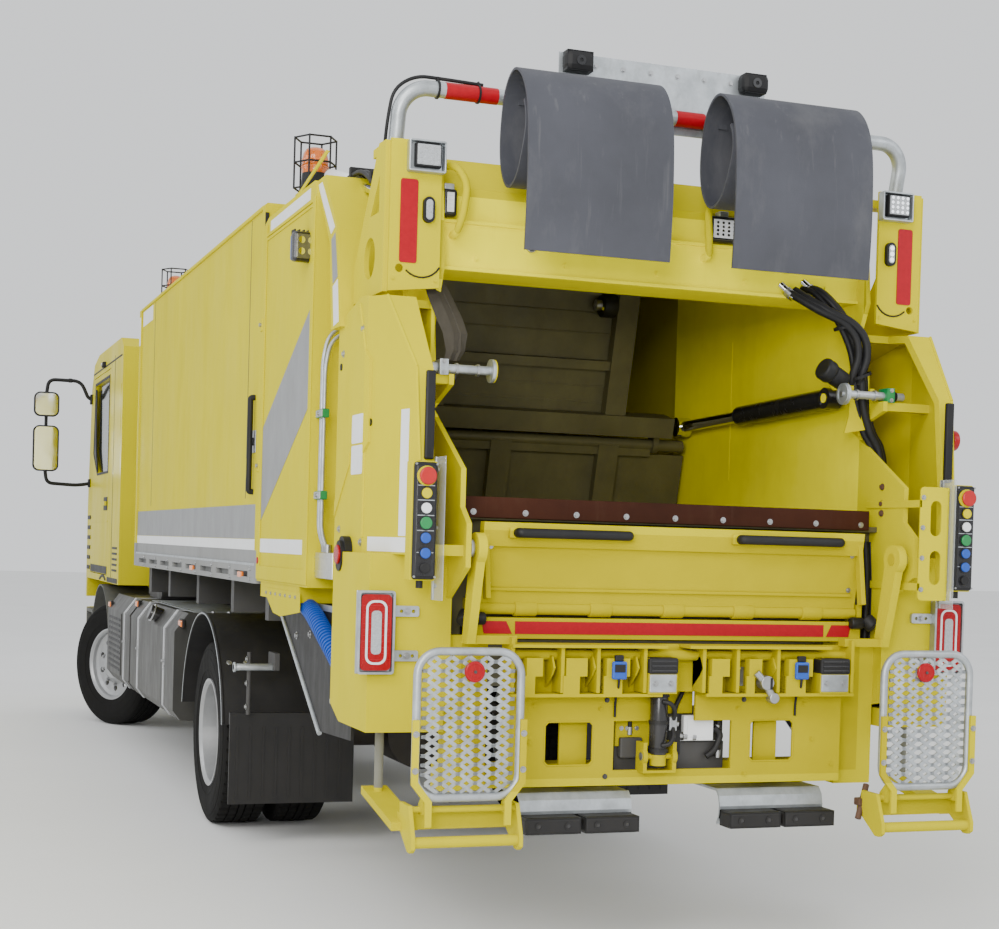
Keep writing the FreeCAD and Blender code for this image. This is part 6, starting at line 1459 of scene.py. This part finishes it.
# folded straps hanging at the left of the mouth, held by the plate above and the bracket below
p = Piece("left_straps", T, "rubber")
for o_, w_ in ((0.0, 0.030), (0.032, 0.024)):
    rows = ((-0.965, 0.585, 2.640), (-0.945, 0.54, 2.56), (-0.915, 0.50, 2.47), (-0.900, 0.47, 2.41), (-0.905, 0.45, 2.34), (-0.925, 0.44, 2.300))
    vs, fs = [], []
    for k, (a, b, c) in enumerate(rows):
        ww = w_ * (1.0, 1.35, 1.5, 1.35, 0.9, 0.55)[k]
        for d, e in ((-ww, 0.0), (0.0, -0.012), (ww, 0.004), (0.0, 0.012)):
            vs.append((a + o_ + d, Y(b + e + o_ * 0.3), c))
    for k in range(len(rows) - 1):
        for j in range(4):
            q = (j + 1) % 4
            fs.append([k * 4 + j, k * 4 + q, k * 4 + 4 + q, k * 4 + 4 + j])
    fs += [[0, 1, 2, 3], [len(vs) - 1, len(vs) - 2, len(vs) - 3, len(vs) - 4]]
    p.add(vs, fs, "strap", False)
p.done()
p = Piece("foot_roll", T, "rubber")
p.cyl((0.786, Y(0.150), 0.690), (0.727, Y(0.110), 0.560), 0.0125, "brown", 16, bev=0.002)
p.box(0.730, 0.766, Y(0.110), Y(0.150), 0.610, 0.640, "brown", 0.004)
p.done()

# pivot brackets and end details of the loading edge, on both sides
p = Piece("mouth_corners", T, "yellow_paint")
for sx in (-1, 1):
    a, b = sorted((sx * 0.832, sx * 0.862))
    p.cyl((sx * 0.905, Y(0.146), 1.590), (sx * 0.922, Y(0.146), 1.590), 0.034, "steel", 24, bev=0.003)
    p.cyl((sx * 0.921, Y(0.146), 1.590), (sx * 0.932, Y(0.146), 1.590), 0.018, "steel", 6)
    # stop buffers at the ends of the strip beam
    p.cyl((sx * 0.862, Y(0.318), 1.345), (sx * 0.885, Y(0.290), 1.310), 0.030, "black", 22, bev=0.006)
    p.tube([(sx * 0.910, Y(0.415), 1.66), (sx * 0.915, Y(0.40), 1.50), (sx * 0.912, Y(0.40), 1.30), (sx * 0.910, Y(0.405), 1.12)], 0.013, "black", 0.06, 10)
    p.tube([(sx * 0.935, Y(0.415), 1.66), (sx * 0.938, Y(0.395), 1.50), (sx * 0.935, Y(0.395), 1.30), (sx * 0.930, Y(0.405), 1.12)], 0.011, "black", 0.06, 10)
p.done()

# ------------------------------------------------------------------ press: dirt shields, roller, posts' tops
p = Piece("press_details", "press", "worn_steel")


def al(r, off=0.0):
    q = math.radians(14)
    return (Y(1.95) + math.sin(q) * r - math.cos(q) * off, 2.95 - math.cos(q) * r - math.sin(q) * off)


for sx in (-1, 1):
    y, z = al(0.02, 0.0)
    p.cyl((sx * 0.415, y, z), (sx * 0.539, y, z), 0.070, "worn", 30, bev=0.006)
    if sx < 0:
        continue
    y, z = al(0.150, 0.085)
    p.cyl((sx * 0.330, y + 0.03, z), (sx * 0.405, y + 0.03, z), 0.058, "black", 28, bev=0.006)
    p.cyl((sx * 0.300, y + 0.03, z), (sx * 0.335, y + 0.03, z), 0.026, "steel", 18)
    for k in (-1, 1):
        p.cyl((sx * 0.325, y + 0.03 + 0.03 * k, z + 0.02 * k), (sx * 0.331, y + 0.03 + 0.03 * k, z + 0.02 * k), 0.008, "yellow", 10)
for r in (0.20, 0.30, 0.56, 0.64):
    y, z = al(r, 0.001)
    p.box(-0.428, 0.428, y - 0.003, y + 0.003, z - 0.004, z + 0.004, "worn", 0.001)
p.done()

# ------------------------------------------------------------------ hopper walls: ribs
p = Piece("hopper_liners", T, "yellow_paint")
for sx in (-1, 1):
    xi = sx * 0.930
    a, b = sorted((sx * 0.9285, sx * 0.9315))
    for y, z0, z1 in ((1.70, 1.95, 2.62),):
        p.box(a, b, Y(y) - 0.003, Y(y) + 0.003, z0, z1, "yellow")
p.done()
# ------------------------------------------------------------------ floor, light, camera
def stage_floor():
    me = bpy.data.meshes.new("floor")
    s = 60.0
    me.from_pydata([(-s, -s, 0), (s, -s, 0), (s, s, 0), (-s, s, 0)], [], [(0, 1, 2, 3)])
    m, nt, b = new_mat("floor_pale")
    L(nt, mix(nt, ramp(nt, noise_tex(nt, 0.6, 4), 0.3, 0.7), (0.80, 0.80, 0.79), (0.83, 0.83, 0.82)), b.inputs["Base Color"])
    b.inputs["Roughness"].default_value = 0.85
    me.materials.append(m)
    o = bpy.data.objects.new("floor", me)
    scene.collection.objects.link(o)


stage_floor()
w = bpy.data.worlds.new("studio")
scene.world = w
w.use_nodes = True
bg = w.node_tree.nodes["Background"]
bg.inputs["Color"].default_value = (0.93, 0.95, 0.97, 1)
bg.inputs["Strength"].default_value = 1.12


def area(name, loc, target, size, power, col=(1, 1, 1)):
    ld = bpy.data.lights.new(name, "AREA")
    ld.shape = "RECTANGLE"
    ld.size, ld.size_y = size
    ld.energy = power
    ld.color = col
    o = bpy.data.objects.new(name, ld)
    scene.collection.objects.link(o)
    o.location = loc
    o.rotation_euler = (Vector(target) - Vector(loc)).to_track_quat("-Z", "Y").to_euler()
    return o


area("key", (-9.0, -14.0, 11.0), (0, -3.5, 1.5), (8, 6), 1250, (1.0, 0.985, 0.95))
area("side", (-14.0, 1.0, 8.0), (-1.2, 0, 1.5), (9, 6), 450, (0.97, 0.99, 1.0))
area("fill", (8.0, -13.0, 7.0), (0, -4.5, 1.2), (7, 6), 300, (0.95, 0.97, 1.0))
area("top", (0.0, -2.0, 14.0), (0, -2.0, 0), (10, 14), 200)
area("hopper", (-4.6, -12.5, 3.2), (0.7, -4.0, 2.2), (2.5, 2.0), 420, (1.0, 0.99, 0.96))

cam_d = bpy.data.cameras.new("camera")
cam = bpy.data.objects.new("camera", cam_d)
scene.collection.objects.link(cam)
yaw, pitch, roll = 0.341, -0.0213, 0.0284
F = Vector((math.sin(yaw) * math.cos(pitch), math.cos(yaw) * math.cos(pitch), math.sin(pitch)))
Rr = Vector((math.cos(yaw), -math.sin(yaw), 0))
U = Rr.cross(F)
R2 = Rr * math.cos(roll) + U * math.sin(roll)
U2 = U * math.cos(roll) - Rr * math.sin(roll)
mw = Matrix((R2, U2, -F)).transposed().to_4x4()
mw.translation = Vector((-2.919, -10.874, 1.606))
cam.matrix_world = mw
cam_d.sensor_width = 36.0
cam_d.sensor_fit = "HORIZONTAL"
cam_d.lens = 61.44
cam_d.shift_x = 0.0075
cam_d.shift_y = 0.1163
cam_d.clip_end = 200
scene.camera = cam
bpy.context.view_layer.update()
